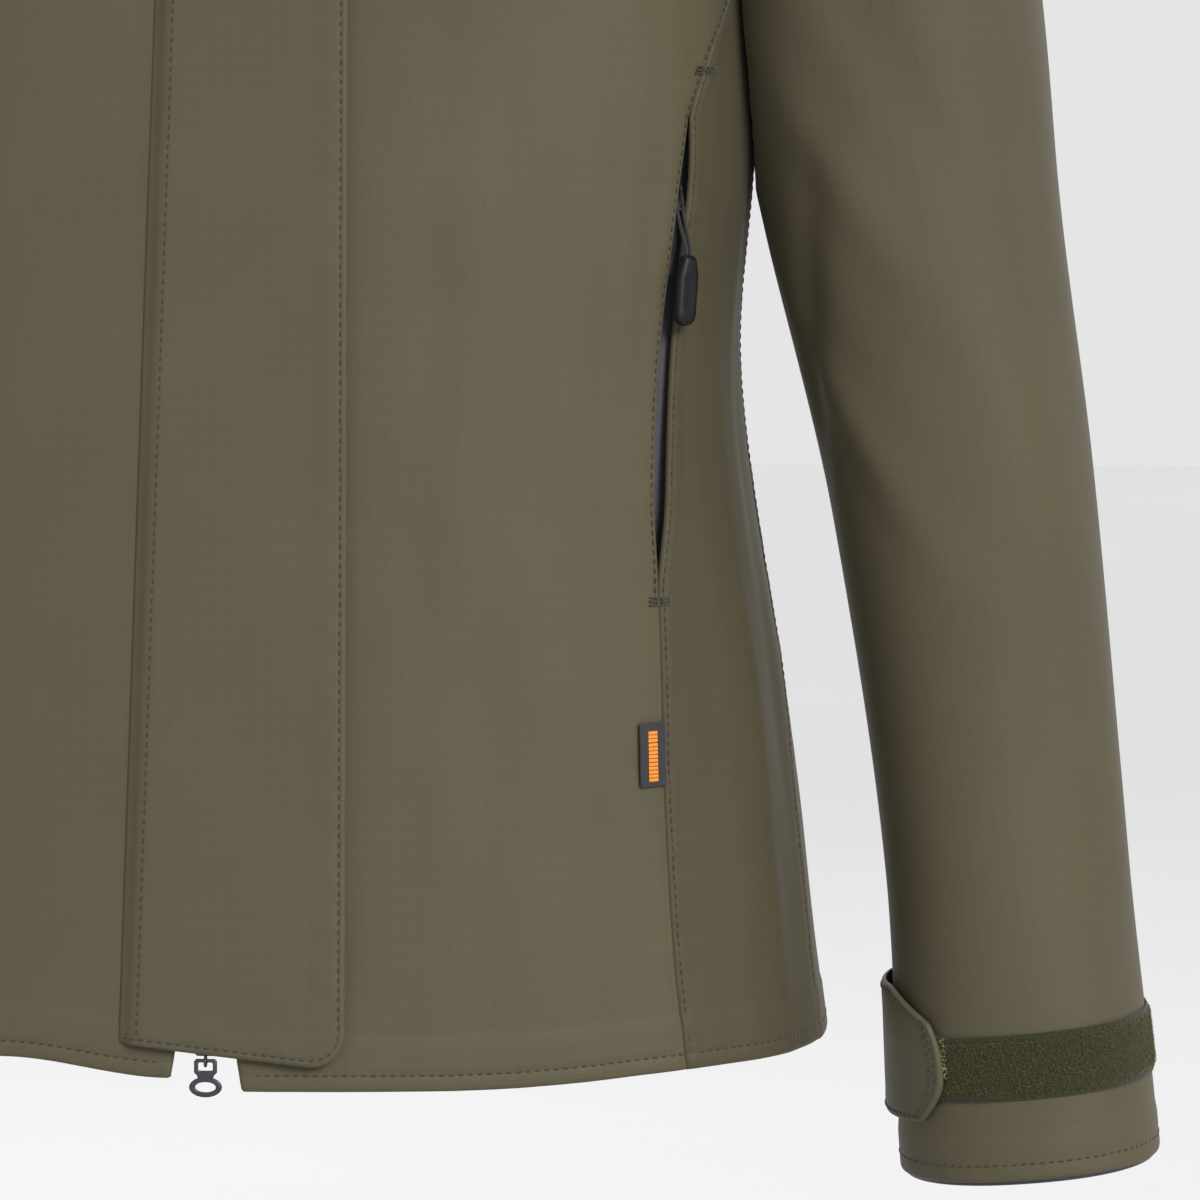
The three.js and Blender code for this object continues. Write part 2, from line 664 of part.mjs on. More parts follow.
// ---------------------------------------------------------------- cuffs

// A sheet wrapped round the cuff; low and high are heights above the cuff's edge.
function cuffSheet(from, to, columns, low, high, outerOff, innerOff, rows = 3) {
  const angles = steps(from, to, columns);
  const grid = (off) =>
    steps(0, 1, rows).map((share) =>
      angles.map((degrees) => {
        const height = lerp(low(degrees), high(degrees), share);
        const distance = typeof off === "function" ? off(degrees) : off;
        return sleevePoint(degrees, SLEEVE_DROP - height, distance).toArray();
      }),
    );
  return sheet(grid(outerOff), grid(innerOff));
}

const LOOP_OUT = GAP + PATCH_THICKNESS;
const HOOK_IN = LOOP_OUT + GAP;
const TAB_OFF = HOOK_IN + PATCH_THICKNESS + GAP;

function cuffLoopTape() {
  return cuffSheet(TAPE_FROM, TAPE_TO, 20, () => TAPE_LOW, () => TAPE_HIGH, LOOP_OUT, GAP, 1);
}

// The tab rises from the seam at its root to lie over the hook and loop tapes.
function cuffTab() {
  const rise = (degrees) => lerp(GAP, TAB_OFF, smooth(degrees, TAB_ROOT, TAB_ROOT + 22));
  const perDegree = (CUFF_HALF_WIDTH * Math.PI) / 180;
  const round = (degrees) => {
    const into = Math.max(TAB_CORNER - (TAB_END - degrees) * perDegree, 0);
    return TAB_CORNER - Math.sqrt(Math.max(TAB_CORNER ** 2 - into ** 2, 0));
  };
  const low = (degrees) => TAB_LOW + round(degrees);
  const high = (degrees) => TAB_HIGH - round(degrees) * 2;
  const outer = (degrees) => rise(degrees) + FLAP_THICKNESS;
  return cuffSheet(TAB_ROOT, TAB_END, 16, low, high, outer, rise);
}

function cuffHookPatch() {
  const low = () => TAPE_LOW + 1;
  const high = () => TAPE_HIGH - 1;
  const inner = TAB_OFF - GAP - PATCH_THICKNESS;
  return cuffSheet(TAB_END - 40, TAB_END - 4, 5, low, high, TAB_OFF - GAP, inner, 1);
}

function cuffFacing() {
  const top = SLEEVE_DROP - FACING_HEIGHT;
  const outside = sleeveCore(-SHELL - 0.3, top, SLEEVE_DROP + FACING_SHOWS);
  return cut(outside, sleeveCore(-SHELL - 0.3 - LINING, top - 1, SLEEVE_DROP + FACING_SHOWS + 1));
}

// ---------------------------------------------------------------- zip and storm flap

// Everything along the zip is drawn in its own frame: x across, y inwards, z up the zip.
const closure = new THREE.Group();
closure.position.set(0, -HEM_FRONT_DEPTH, 0);
closure.rotation.x = -Math.atan(FRONT_LEAN);
const toClosure = new THREE.Matrix4().makeRotationX(Math.atan(FRONT_LEAN));
toClosure.multiply(new THREE.Matrix4().makeTranslation(0, HEM_FRONT_DEPTH, 0));

const TAPE_MIDDLE = SHELL + TAPE_CLEAR + TAPE_THICKNESS / 2;
const CHAIN_OUT = CHAIN_SLOT + CHAIN_WIDTH;

function frontTape(side) {
  const low = [CHAIN_OUT + GAP, TAPE_MIDDLE - TAPE_THICKNESS / 2, ZIP_FOOT];
  const high = [TAPE_OUT, TAPE_MIDDLE + TAPE_THICKNESS / 2, ZIP_TOP];
  return onSide(side, block(low, high));
}

function chainBlock(side, from, to) {
  const low = [CHAIN_SLOT, TAPE_MIDDLE - CHAIN_DEPTH / 2, from];
  return onSide(side, block(low, [CHAIN_OUT, TAPE_MIDDLE + CHAIN_DEPTH / 2, to]));
}

// The slider's two plates grip the chains, and its post runs in the slot between them.
function frontSlider(foot) {
  const front = TAPE_MIDDLE - CHAIN_DEPTH / 2 - GAP;
  const back = TAPE_MIDDLE + CHAIN_DEPTH / 2 + GAP;
  const top = foot + SLIDER_LENGTH;
  const w = SLIDER_HALF_WIDTH;
  const frontPlate = block([-w, front - SLIDER_PLATE, foot], [w, front, top]);
  const backPlate = block([-w, back, foot], [w, back + SLIDER_PLATE, top]);
  const post = block([-SLIDER_POST, front - 0.5, foot], [SLIDER_POST, back + 0.5, top]);
  const ring = new THREE.Shape().absarc(0, 0, LUG_RADIUS, 0, 2 * Math.PI);
  ring.holes.push(new THREE.Path().absarc(0, 0, LUG_HOLE, 0, 2 * Math.PI, true));
  const lug = new THREE.ExtrudeGeometry(ring, {
    depth: 2 * LUG_HALF_WIDTH,
    bevelEnabled: false,
    curveSegments: 6,
  });
  lug.rotateY(Math.PI / 2).translate(-LUG_HALF_WIDTH, -PULL_PIVOT_OUT, pivotHeight(foot));
  const neckLow = [-LUG_HALF_WIDTH, -PULL_PIVOT_OUT - 0.4, pivotHeight(foot) + LUG_HOLE];
  const neck = block(neckLow, [LUG_HALF_WIDTH, front - SLIDER_PLATE / 2, foot + 2.5]);
  return joined(frontPlate, backPlate, post, lug, neck);
}

const pivotHeight = (foot) => foot - LUG_RADIUS + 0.4;

// A flat pull with a slot for the lug and an oval finger ring.
function frontPull(foot) {
  const pivot = pivotHeight(foot);
  const bar = 0.6;
  const ringTop = pivot + bar - PULL_LENGTH + PULL_RING_HEIGHT;
  const w = PULL_HALF_WIDTH;
  const waist = w - 1.6;
  const neck = outline([
    [-w, pivot + bar],
    [-w, pivot - 4.4],
    [-waist, pivot - 5.6],
    [-waist, ringTop - 1.5],
    [waist, ringTop - 1.5],
    [waist, pivot - 5.6],
    [w, pivot - 4.4],
    [w, pivot + bar],
  ]);
  neck.holes.push(
    new THREE.Path(
      [[-2.5, -bar], [-2.5, -3.6], [2.5, -3.6], [2.5, -bar]].map(
        ([x, z]) => new THREE.Vector2(x, pivot + z),
      ),
    ),
  );
  const middle = ringTop - PULL_RING_HEIGHT / 2;
  const oval = (x, z, clockwise, Kind) =>
    new Kind().absellipse(0, middle, x, z, 0, 2 * Math.PI, clockwise);
  const ring = oval(PULL_RING_WIDTH / 2, PULL_RING_HEIGHT / 2, false, THREE.Shape);
  ring.holes.push(oval(PULL_RING_WIDTH / 2 - 2.4, PULL_RING_HEIGHT / 2 - 1.9, true, THREE.Path));
  const flat = joined(plate(neck, PULL_THICKNESS), plate(ring, PULL_THICKNESS, 8));
  return flat.translate(0, -PULL_PIVOT_OUT, 0);
}

// The front surface in the closure frame: how far inwards it lies at (x, z), plus an offset out.
function frontSurface(x, z, off) {
  let low = z - 10;
  let high = Math.min(z + FRONT_NECK_DROP + 30, COLLAR_TOP);
  for (let i = 0; i < 40; i++) {
    const middle = (low + high) / 2;
    const height = bodyPoint(angleAt(x, middle), middle).applyMatrix4(toClosure).z;
    if (height < z) low = middle;
    else high = middle;
  }
  const point = bodyPoint(angleAt(x, low), low).applyMatrix4(toClosure);
  return [x, point.y - off, z];
}

const flapRoot = (z) => FLAP_ROOT_AT_FOOT + FLAP_ROOT_SLANT * (z - ZIP_FOOT);

// The flap's lower edge slants down to a rounded corner.
function flapFoot(x) {
  const share = (x - FLAP_ROOT_AT_FOOT) / (FLAP_FREE_EDGE - FLAP_CORNER - FLAP_ROOT_AT_FOOT);
  const slant = lerp(FLAP_FOOT_ROOT, FLAP_FOOT_FREE, Math.min(share, 1));
  const into = Math.max(x - (FLAP_FREE_EDGE - FLAP_CORNER), 0);
  return slant + FLAP_CORNER - Math.sqrt(Math.max(FLAP_CORNER ** 2 - into ** 2, 0));
}

function stormFlap() {
  const shares = [0, 0.02, 0.045, 0.12, 0.3, 0.5, 0.7, 0.85, 0.93, 0.975, 1];
  const levels = steps(0, 1, 14);
  const grid = (thickness) =>
    levels.map((level) =>
      shares.map((share) => {
        const guess = lerp(ZIP_FOOT, ZIP_TOP, level);
        const x = lerp(flapRoot(guess), FLAP_FREE_EDGE, share);
        const z = lerp(flapFoot(x), ZIP_TOP, level);
        const rise = lerp(FLAP_ROOT_CLEAR, FLAP_STAND_OFF, smooth(x - flapRoot(guess), 0, 3.4));
        return frontSurface(x, z, rise + thickness);
      }),
    );
  return sheet(grid(FLAP_THICKNESS), grid(0));
}

function touchPatch(index, outerOff, innerOff) {
  const middle = PATCH_FIRST + index * PATCH_PITCH;
  const out = FLAP_FREE_EDGE - PATCH_IN;
  const columns = steps(out - PATCH_WIDTH, out, 2);
  const grid = (off) =>
    steps(middle - PATCH_LENGTH / 2, middle + PATCH_LENGTH / 2, 2).map((z) =>
      columns.map((x) => frontSurface(x, z, off)),
    );
  return sheet(grid(outerOff), grid(innerOff));
}

// A strip behind the zip, folded forward to its seam on the left front panel.
function windGuard() {
  const back = TAPE_MIDDLE + CHAIN_DEPTH / 2 + GAP + SLIDER_PLATE + 1;
  const front = SHELL + GUARD_CLEAR;
  const section = outline([
    [GUARD_FROM, back],
    [GUARD_TO - GUARD_THICKNESS, back],
    [GUARD_TO - GUARD_THICKNESS, front + GUARD_THICKNESS],
    [GUARD_TO - 4, front + GUARD_THICKNESS],
    [GUARD_TO - 4, front],
    [GUARD_TO, front],
    [GUARD_TO, back + GUARD_THICKNESS],
    [GUARD_FROM, back + GUARD_THICKNESS],
  ]);
  const depth = ZIP_TOP - GUARD_FOOT - GUARD_BELOW_TOP;
  return new THREE.ExtrudeGeometry(section, { depth, bevelEnabled: false }).translate(0, 0, GUARD_FOOT);
}

// ---------------------------------------------------------------- pockets

function pocketFrame(side) {
  const middle = (POCKET_BOTTOM + POCKET_TOP) / 2;
  const up = SLIT_TOP.clone().sub(SLIT_BOTTOM);
  const length = up.length();
  up.normalize();
  const out = bodyNormal(slitAngle(middle), middle);
  out.addScaledVector(up, -out.dot(up)).normalize();
  const bottom = SLIT_BOTTOM.clone().addScaledVector(out, -POCKET_INSET);
  for (const v of [bottom, up, out]) v.x *= side;
  const across = new THREE.Vector3().crossVectors(out, up).negate();
  const group = new THREE.Group();
  const matrix = new THREE.Matrix4().makeBasis(across, out.clone().negate(), up).setPosition(bottom);
  matrix.decompose(group.position, group.quaternion, group.scale);
  return { group, length };
}

// In a pocket's frame x runs across the slit, y inwards and z up along the zip.
function pocketTape(length) {
  const w = POCKET_TAPE_WIDTH / 2;
  const t = TAPE_THICKNESS / 2;
  const section = outline([
    [-w, -t],
    [w, -t],
    [w, t],
    [2.2, t],
    [2.2, t + 1.4],
    [-2.2, t + 1.4],
    [-2.2, t],
    [-w, t],
  ]);
  return new THREE.ExtrudeGeometry(section, { depth: length + 12, bevelEnabled: false }).translate(0, 0, -6);
}

const POCKET_ARCH_OUT = 4;
const POCKET_ARCH_HOLE = 2.4;
const POCKET_ARCH_HALF = 0.8;
const POCKET_PLATE_OUT = TAPE_THICKNESS / 2 + GAP + 1.6;

function pocketSlider(top) {
  const foot = top - POCKET_SLIDER_LENGTH;
  const w = POCKET_SLIDER_WIDTH / 2;
  const out = -POCKET_PLATE_OUT;
  const body = block([-w, out, foot], [w, out + 1.6, top]);
  const arch = block([-POCKET_ARCH_HALF, out - POCKET_ARCH_OUT, foot], [POCKET_ARCH_HALF, out + 0.4, foot + 6]);
  const hole = block([-2, out - 0.8 - POCKET_ARCH_HOLE, foot + 1.2], [2, out - 0.8, foot + 4.8]);
  return joined(body, cut(arch, hole));
}

// Where the cord turns in the slider's arch, in the pocket's frame.
const pocketPivot = (top) => ({
  y: -POCKET_PLATE_OUT - 0.8 - POCKET_ARCH_HOLE / 2,
  z: top - POCKET_SLIDER_LENGTH + 3.2,
});
const GRIP_OUT = -(POCKET_INSET + GRIP_CLEAR + GRIP_THICKNESS / 2);

// The cord runs up one side of the pull, through the slider's arch and down the other side,
// leaning outwards over the edge of the slit.
function pocketCord(pivot) {
  const turn = POCKET_CORD_TURN;
  const route = [
    [0.57, 1, 1],
    [0.6, 0.8, 0.75],
    [0.8, 0.5, 0.42],
    [1, 0.2, 0.08],
    [0.78, 0.06, 0],
    [0.42, 0.012, 0],
    [0, 0, 0],
  ];
  const half = route.map(([x, down, out]) => [
    x * turn,
    lerp(pivot.y, GRIP_OUT, out),
    pivot.z - down * POCKET_CORD_LENGTH,
  ]);
  const back = half.slice(0, -1).reverse().map(([x, y, z]) => [-x, y, z]);
  const path = new THREE.CatmullRomCurve3([...half, ...back].map((p) => new THREE.Vector3(...p)));
  const corners = steps(0, 2 * Math.PI, 8).slice(0, -1);
  const section = outline(corners.map((a) => [Math.cos(a), Math.sin(a)].map((v) => (v * POCKET_CORD) / 2)));
  return new THREE.ExtrudeGeometry(section, { steps: 16, extrudePath: path, bevelEnabled: false });
}

// A moulded grip with rounded ends, a little wider at the foot.
function pocketGrip(pivot) {
  const top = pivot.z - POCKET_CORD_LENGTH - GAP;
  const w = GRIP_WIDTH / 2;
  const shape = new THREE.Shape();
  shape.moveTo(-w + 1.4, top);
  shape.lineTo(-w + 0.4, top - 2);
  shape.lineTo(-w, top - GRIP_LENGTH + w);
  shape.absarc(0, top - GRIP_LENGTH + w, w, Math.PI, 2 * Math.PI);
  shape.lineTo(w - 0.4, top - 2);
  shape.lineTo(w - 1.4, top);
  return plate(shape, GRIP_THICKNESS, 4).translate(0, GRIP_OUT, 0);
}

function pocketBag(side) {
  const rows = steps(POCKET_BOTTOM - BAG_BELOW, POCKET_TOP - 8, 4);
  const outer = -POCKET_INSET - 2.4;
  const inner = outer - BAG_DEPTH + 3;
  const near = (h) => slitAngle(h) + 4;
  const far = (h) => slitAngle(h) - BAG_REACH;
  const skin = bodySheet(rows, 3, far, near, outer, inner);
  const hollowRows = [rows[0] + 3, ...rows.slice(1, -1), rows[rows.length - 1] - 3];
  const hollow = bodySheet(hollowRows, 3, (h) => far(h) + 1.2, (h) => near(h) + 2, outer - 1.2, inner + 1.2);
  return onSide(side, cut(skin, hollow));
}

// ---------------------------------------------------------------- label and hanger loop

function seamLabel() {
  const rows = steps(LABEL_LOW, LABEL_HIGH, 2);
  const high = (h) => princessSeam(h) - SEAM * anglePerMm(h);
  const low = (h) => high(h) - LABEL_WIDTH * anglePerMm(h);
  return bodySheet(rows, 2, low, high, GAP + 0.8, GAP);
}

function hangerLoop() {
  const rows = [LOOP_TOP - LOOP_STRAP, LOOP_TOP];
  const reach = 26;
  const ends = -LOOP_IN;
  const bow = (degrees) => ends - LOOP_BOW * smooth(reach - Math.abs(degrees - 90), reach * 0.05, reach * 0.65);
  const inner = (degrees) => bow(degrees) - LOOP_THICKNESS;
  return bodySheet(rows, 16, () => 90 - reach, () => 90 + reach, bow, inner);
}

// ---------------------------------------------------------------- assembly

const jacket = new THREE.Group();
const [, loopY, loopZ] = bodyOffset(90, LOOP_TOP, -LOOP_IN - LOOP_BOW);
jacket.position.set(0, -loopY, -loopZ);

function add(name, geometry, material, parent = jacket) {
  const mesh = new THREE.Mesh(geometry, material);
  mesh.name = name;
  parent.add(mesh);
}

const SIDES = [
  ["left", 1],
  ["right", -1],
];

function addBody() {
  for (const [name, side] of SIDES) {
    add(`${name}_front_panel`, withArmhole(side, frontPanel(side)), OLIVE);
    add(`${name}_side_panel`, withArmhole(side, sidePanel(side)), OLIVE_DARK);
    add(`${name}_front_lining`, withArmhole(side, frontLining(side)), NAVY);
  }
  add("back_panel", withArmholes(backPanel()), OLIVE);
  add("yoke", withArmholes(yoke()), OLIVE);
  add("back_lining", withArmholes(backLining()), NAVY);
  add("collar_outer", collar(0, -SHELL), OLIVE);
  add("collar_lining", collar(-SHELL - 0.6, -2 * SHELL - 0.6), NAVY);
  add("seam_label", seamLabel(), LABEL_CLOTH);
  add("hanger_loop", hangerLoop(), NAVY);
}

function addClosure() {
  const lowerFoot = ZIP_FOOT - 1.6;
  const upperFoot = ZIP_TOP - SLIDER_LENGTH - 6;
  const chainFoot = ZIP_FOOT + PIN_LENGTH;
  for (const [name, side] of SIDES) {
    add(`${name}_zip_tape`, frontTape(side), ZIP_CLOTH, closure);
    add(`${name}_zip_chain`, chainBlock(side, chainFoot + GAP, ZIP_TOP), MOULDED, closure);
  }
  add("insertion_pin", chainBlock(1, ZIP_FOOT, chainFoot), GUNMETAL, closure);
  add("retaining_pin", chainBlock(-1, ZIP_FOOT, chainFoot), GUNMETAL, closure);
  add("lower_slider", frontSlider(lowerFoot), GUNMETAL, closure);
  add("lower_pull", frontPull(lowerFoot), GUNMETAL, closure);
  add("upper_slider", frontSlider(upperFoot), GUNMETAL, closure);
  add("upper_pull", frontPull(upperFoot), GUNMETAL, closure);
  add("inner_wind_guard", windGuard(), NAVY, closure);
  add("storm_flap", stormFlap(), OLIVE, closure);
  for (let i = 0; i < PATCH_COUNT; i++) {
    const hookOut = FLAP_STAND_OFF - 0.5;
    add(`flap_hook_patch_${i + 1}`, touchPatch(i, hookOut, hookOut - PATCH_THICKNESS), HOOK_TAPE, closure);
    add(`front_loop_patch_${i + 1}`, touchPatch(i, PATCH_CLEAR + PATCH_THICKNESS, PATCH_CLEAR), LOOP_PILE, closure);
  }
  jacket.add(closure);
}

function addPocket(name, side) {
  const { group, length } = pocketFrame(side);
  const top = length - POCKET_SLIDER_START;
  const pivot = pocketPivot(top);
  add(`${name}_pocket_zip_tape`, pocketTape(length), ZIP_CLOTH, group);
  add(`${name}_pocket_slider`, pocketSlider(top), MOULDED, group);
  add(`${name}_pocket_pull_cord`, pocketCord(pivot), MOULDED, group);
  add(`${name}_pocket_pull_grip`, pocketGrip(pivot), MOULDED, group);
  add(`${name}_pocket_bag`, pocketBag(side), NAVY);
  jacket.add(group);
}

function addSleeve(name, side) {
  add(`${name}_sleeve`, onSide(side, sleeve()), OLIVE);
  add(`${name}_sleeve_lining`, onSide(side, sleeveLining()), NAVY);
  add(`${name}_cuff_loop_tape`, onSide(side, cuffLoopTape()), LOOP_PILE);
  add(`${name}_cuff_tab`, onSide(side, cuffTab()), OLIVE_DARK);
  add(`${name}_cuff_hook_patch`, onSide(side, cuffHookPatch()), HOOK_TAPE);
  add(`${name}_cuff_facing`, onSide(side, cuffFacing()), NAVY);
}

addBody();
addClosure();
for (const [name, side] of SIDES) {
  addPocket(name, side);
  addSleeve(name, side);
}

export default jacket;
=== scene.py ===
"""Women's waterproof shell jacket: makes the visible pieces round the fixed frame."""

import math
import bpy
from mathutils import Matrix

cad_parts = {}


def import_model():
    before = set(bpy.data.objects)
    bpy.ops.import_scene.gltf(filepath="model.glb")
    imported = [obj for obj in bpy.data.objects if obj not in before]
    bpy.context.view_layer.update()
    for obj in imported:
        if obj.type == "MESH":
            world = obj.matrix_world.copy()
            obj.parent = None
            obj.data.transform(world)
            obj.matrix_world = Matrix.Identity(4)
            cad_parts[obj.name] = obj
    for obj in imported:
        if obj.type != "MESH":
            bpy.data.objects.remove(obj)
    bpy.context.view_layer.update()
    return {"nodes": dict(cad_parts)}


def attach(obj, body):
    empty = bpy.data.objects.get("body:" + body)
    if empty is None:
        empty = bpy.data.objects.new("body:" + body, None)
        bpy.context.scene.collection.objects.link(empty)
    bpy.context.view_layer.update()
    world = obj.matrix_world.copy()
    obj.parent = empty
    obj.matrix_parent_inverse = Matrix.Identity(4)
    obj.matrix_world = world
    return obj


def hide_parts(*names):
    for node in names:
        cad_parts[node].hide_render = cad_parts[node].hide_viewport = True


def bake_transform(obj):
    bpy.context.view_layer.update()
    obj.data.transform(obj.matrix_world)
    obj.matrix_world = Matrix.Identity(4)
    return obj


bl_info = {
    "name": "Shell Jacket",
    "version": (1, 0, 0),
    "blender": (4, 5, 0),
    "location": "View3D > Sidebar > Jacket",
    "description": "Builds a waterproof shell jacket with its zips, pockets and cuffs",
    "category": "Add Mesh",
}

import bmesh
import bpy
import numpy as np
from bpy.props import FloatProperty, FloatVectorProperty, IntProperty, PointerProperty
from mathutils import Vector

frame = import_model()

# ------------------------------------------------------------------ sizes shared with the frame
# Millimetres in the jacket's own space: h up from the hem, +x to the wearer's left, +y back.

NAPE_HEIGHT, COLLAR_HEIGHT, SHOULDER_DROP, ARMHOLE_DEPTH, WAIST_DROP = 700, 70, 64, 181, 435
HEM_HALF_WIDTH, WAIST_HALF_WIDTH, RIB_HALF_WIDTH = 224, 188.5, 194
CHEST_HALF_WIDTH, NECK_HALF_WIDTH = 197, 67
HEM_BACK_DEPTH, WAIST_BACK_DEPTH, CHEST_BACK_DEPTH, NECK_BACK_DEPTH = 128, 98, 122, 60
HEM_FRONT_DEPTH, FRONT_LEAN, FRONT_NECK_DROP, BUST_FULLNESS = 127, 0.068, 70, 13
SHELL, LINING_CLEAR, SLEEVE_LINING_CLEAR = 2, 3.2, 2.8
SIDE_HEM_LIFT, RIGHT_CORNER_LIFT, RIGHT_FRONT_LIFT = 4, 4.7, 6.5
FRONT_EDGE, EDGE_FLARE, FLARE_HEIGHT = 8, 5.5, 60
TAPE_OUT, TAPE_CLEAR, TAPE_THICKNESS, ZIP_FOOT = 14, 0.8, 0.8, 14
CHAIN_DEPTH = 2.6
LUG_RADIUS, PULL_THICKNESS, PULL_LENGTH, PULL_HALF_WIDTH = 2.2, 1.6, 14, 4.5
PULL_RING_WIDTH, PULL_RING_HEIGHT, PULL_PIVOT_OUT, UPPER_SLIDER_FOOT = 12, 7.4, 1, 670.4
FLAP_STAND_OFF, FLAP_ROOT_AT_FOOT, FLAP_ROOT_SLANT, FLAP_FREE_EDGE = 3.8, -31.5, 0.0328, 51
FLAP_CORNER, FLAP_FOOT_ROOT, FLAP_FOOT_FREE = 12, 17.3, 9.4
PATCH_WIDTH, PATCH_LENGTH, PATCH_FIRST, PATCH_PITCH, PATCH_IN = 16, 40, 120, 222, 5
POCKET_BOTTOM, POCKET_TOP, POCKET_INSET, POCKET_SLIDER_START = 180, 352, 8, 20
POCKET_SLIDER_LENGTH, POCKET_CORD_LENGTH, CORD_DIAMETER = 10, 24, 1.4
GRIP_LENGTH, GRIP_WIDTH, GRIP_THICKNESS, GRIP_CLEAR = 26, 9, 5, 1.4
BAG_REACH, BAG_BELOW, BAG_DEPTH = 34, 60, 9
SLEEVE_DROP, UPPER_SLEEVE_HALF_WIDTH, ELBOW_HALF_WIDTH, CUFF_HALF_WIDTH = 679, 63, 53, 49
CUFF_X, CUFF_Y, SLEEVE_CLEAR, CUFF_SPAN = 300, -9, 1.9, 111
TAPE_LOW, TAPE_HIGH, TAPE_FROM, TAPE_TO = 30.5, 54.5, -142, 80
TAB_LOW, TAB_HIGH, TAB_ROOT, TAB_END = 22.7, 72, 140, 236
FACING_HEIGHT, FACING_SHOWS = 58, 1.5
LABEL_WIDTH, LABEL_LOW, LABEL_HIGH = 11.5, 108, 131
LOOP_IN, LOOP_BOW, LOOP_STRAP, LOOP_REACH = 5.9, 9, 6, 26
GUARD_FROM, GUARD_TO, GUARD_THICKNESS, GUARD_CLEAR = -24, 26, 0.8, 0.7
GUARD_FOOT, GUARD_BELOW_TOP = 30, 100

SHOULDER = NAPE_HEIGHT - SHOULDER_DROP
UNDERARM = SHOULDER - ARMHOLE_DEPTH
WAIST = NAPE_HEIGHT - WAIST_DROP
NECK = NAPE_HEIGHT - 5
COLLAR_SEAM, COLLAR_TOP = NECK + 0.9, NECK + COLLAR_HEIGHT
ZIP_TOP = COLLAR_TOP - FRONT_NECK_DROP - 5
YOKE_SEAM = SHOULDER - 76
LOOP_TOP = NECK + 1 + LOOP_STRAP
TAPE_MIDDLE = SHELL + TAPE_CLEAR + TAPE_THICKNESS / 2
FOREARM_FROM = ARMHOLE_DEPTH + 135

SIDES = (("left", 1), ("right", -1))

# ------------------------------------------------------------------ small helpers


def smooth(x, low, high):
    t = np.clip((np.asarray(x, float) - low) / (high - low), 0, 1)
    return t * t * (3 - 2 * t)


def lerp(a, b, share):
    return a + (b - a) * share


def signed_power(x, power):
    return np.sign(x) * np.abs(x) ** power


def unit(vectors):
    return vectors / np.maximum(np.linalg.norm(vectors, axis=-1, keepdims=True), 1e-9)


def curve(*stations):
    """A smooth function through (position, value) stations that never overshoots them."""
    xs, ys = np.array(stations, float).T
    slopes = np.diff(ys) / np.diff(xs)
    a, b = slopes[:-1], slopes[1:]
    inner = np.where(a * b > 0, 2 * a * b / np.where(a * b > 0, a + b, 1), 0)
    tangents = np.concatenate([slopes[:1], inner, slopes[-1:]])

    def at(value):
        x = np.clip(np.asarray(value, float), xs[0], xs[-1])
        k = np.clip(np.searchsorted(xs, x, side="right") - 1, 0, len(xs) - 2)
        span = xs[k + 1] - xs[k]
        t = (x - xs[k]) / span
        rise = t * (1 - t) ** 2 * span * tangents[k] + t * t * (t - 1) * span * tangents[k + 1]
        return (1 + 2 * t) * (1 - t) ** 2 * ys[k] + t * t * (3 - 2 * t) * ys[k + 1] + rise

    return at


def graded(length, fine=(0, 0.45, 1, 1.6, 2.2, 2.9, 4, 6), pitch=3.0, ends=(True, True)):
    """Distances along a length, close together near the sewn ends and about pitch apart between."""
    low = np.array(fine if ends[0] else (0.0,))
    high = length - np.array(fine if ends[1] else (0.0,))[::-1]
    count = max(int(round((high[0] - low[-1]) / pitch)), 2)
    return np.concatenate([low[:-1], np.linspace(low[-1], high[0], count + 1), high[1:]])


# ------------------------------------------------------------------ the body's surface

half_width = curve(
    (0, HEM_HALF_WIDTH), (WAIST / 2, (HEM_HALF_WIDTH + WAIST_HALF_WIDTH) / 2),
    (WAIST, WAIST_HALF_WIDTH), (UNDERARM - 107, RIB_HALF_WIDTH), (UNDERARM - 35, RIB_HALF_WIDTH - 3),
    (UNDERARM + 45, CHEST_HALF_WIDTH - 1), (SHOULDER, CHEST_HALF_WIDTH),
    (SHOULDER + 16, CHEST_HALF_WIDTH - 21), (SHOULDER + 32, CHEST_HALF_WIDTH - 59),
    (SHOULDER + 46, NECK_HALF_WIDTH + 33), (NECK, NECK_HALF_WIDTH + 3),
    (NECK + 11, NECK_HALF_WIDTH - 2), (COLLAR_TOP, NECK_HALF_WIDTH + 2),
)
back_depth = curve(
    (0, HEM_BACK_DEPTH), (WAIST, WAIST_BACK_DEPTH), (UNDERARM - 63, CHEST_BACK_DEPTH - 10),
    (UNDERARM + 65, CHEST_BACK_DEPTH), (SHOULDER - 36, CHEST_BACK_DEPTH - 10),
    (SHOULDER + 16, NECK_BACK_DEPTH + 24), (NECK, NECK_BACK_DEPTH),
    (NECK + 11, NECK_BACK_DEPTH - 2), (COLLAR_TOP, NECK_BACK_DEPTH + 6),
)
front_drop = curve(
    (0, 0), (UNDERARM - 55, 0), (SHOULDER - 76, FRONT_NECK_DROP - 40),
    (SHOULDER + 4, FRONT_NECK_DROP - 8), (NECK, FRONT_NECK_DROP), (COLLAR_TOP, FRONT_NECK_DROP),
)
squareness = curve(
    (0, 2.35), (WAIST / 2, 2.42), (WAIST, 2.62), (UNDERARM - 63, 2.5), (SHOULDER - 76, 2.6),
    (SHOULDER + 4, 2.4), (NECK, 2.6), (COLLAR_TOP, 2.6),
)


def front_depth(h):
    return HEM_FRONT_DEPTH - FRONT_LEAN * (h - front_drop(h))


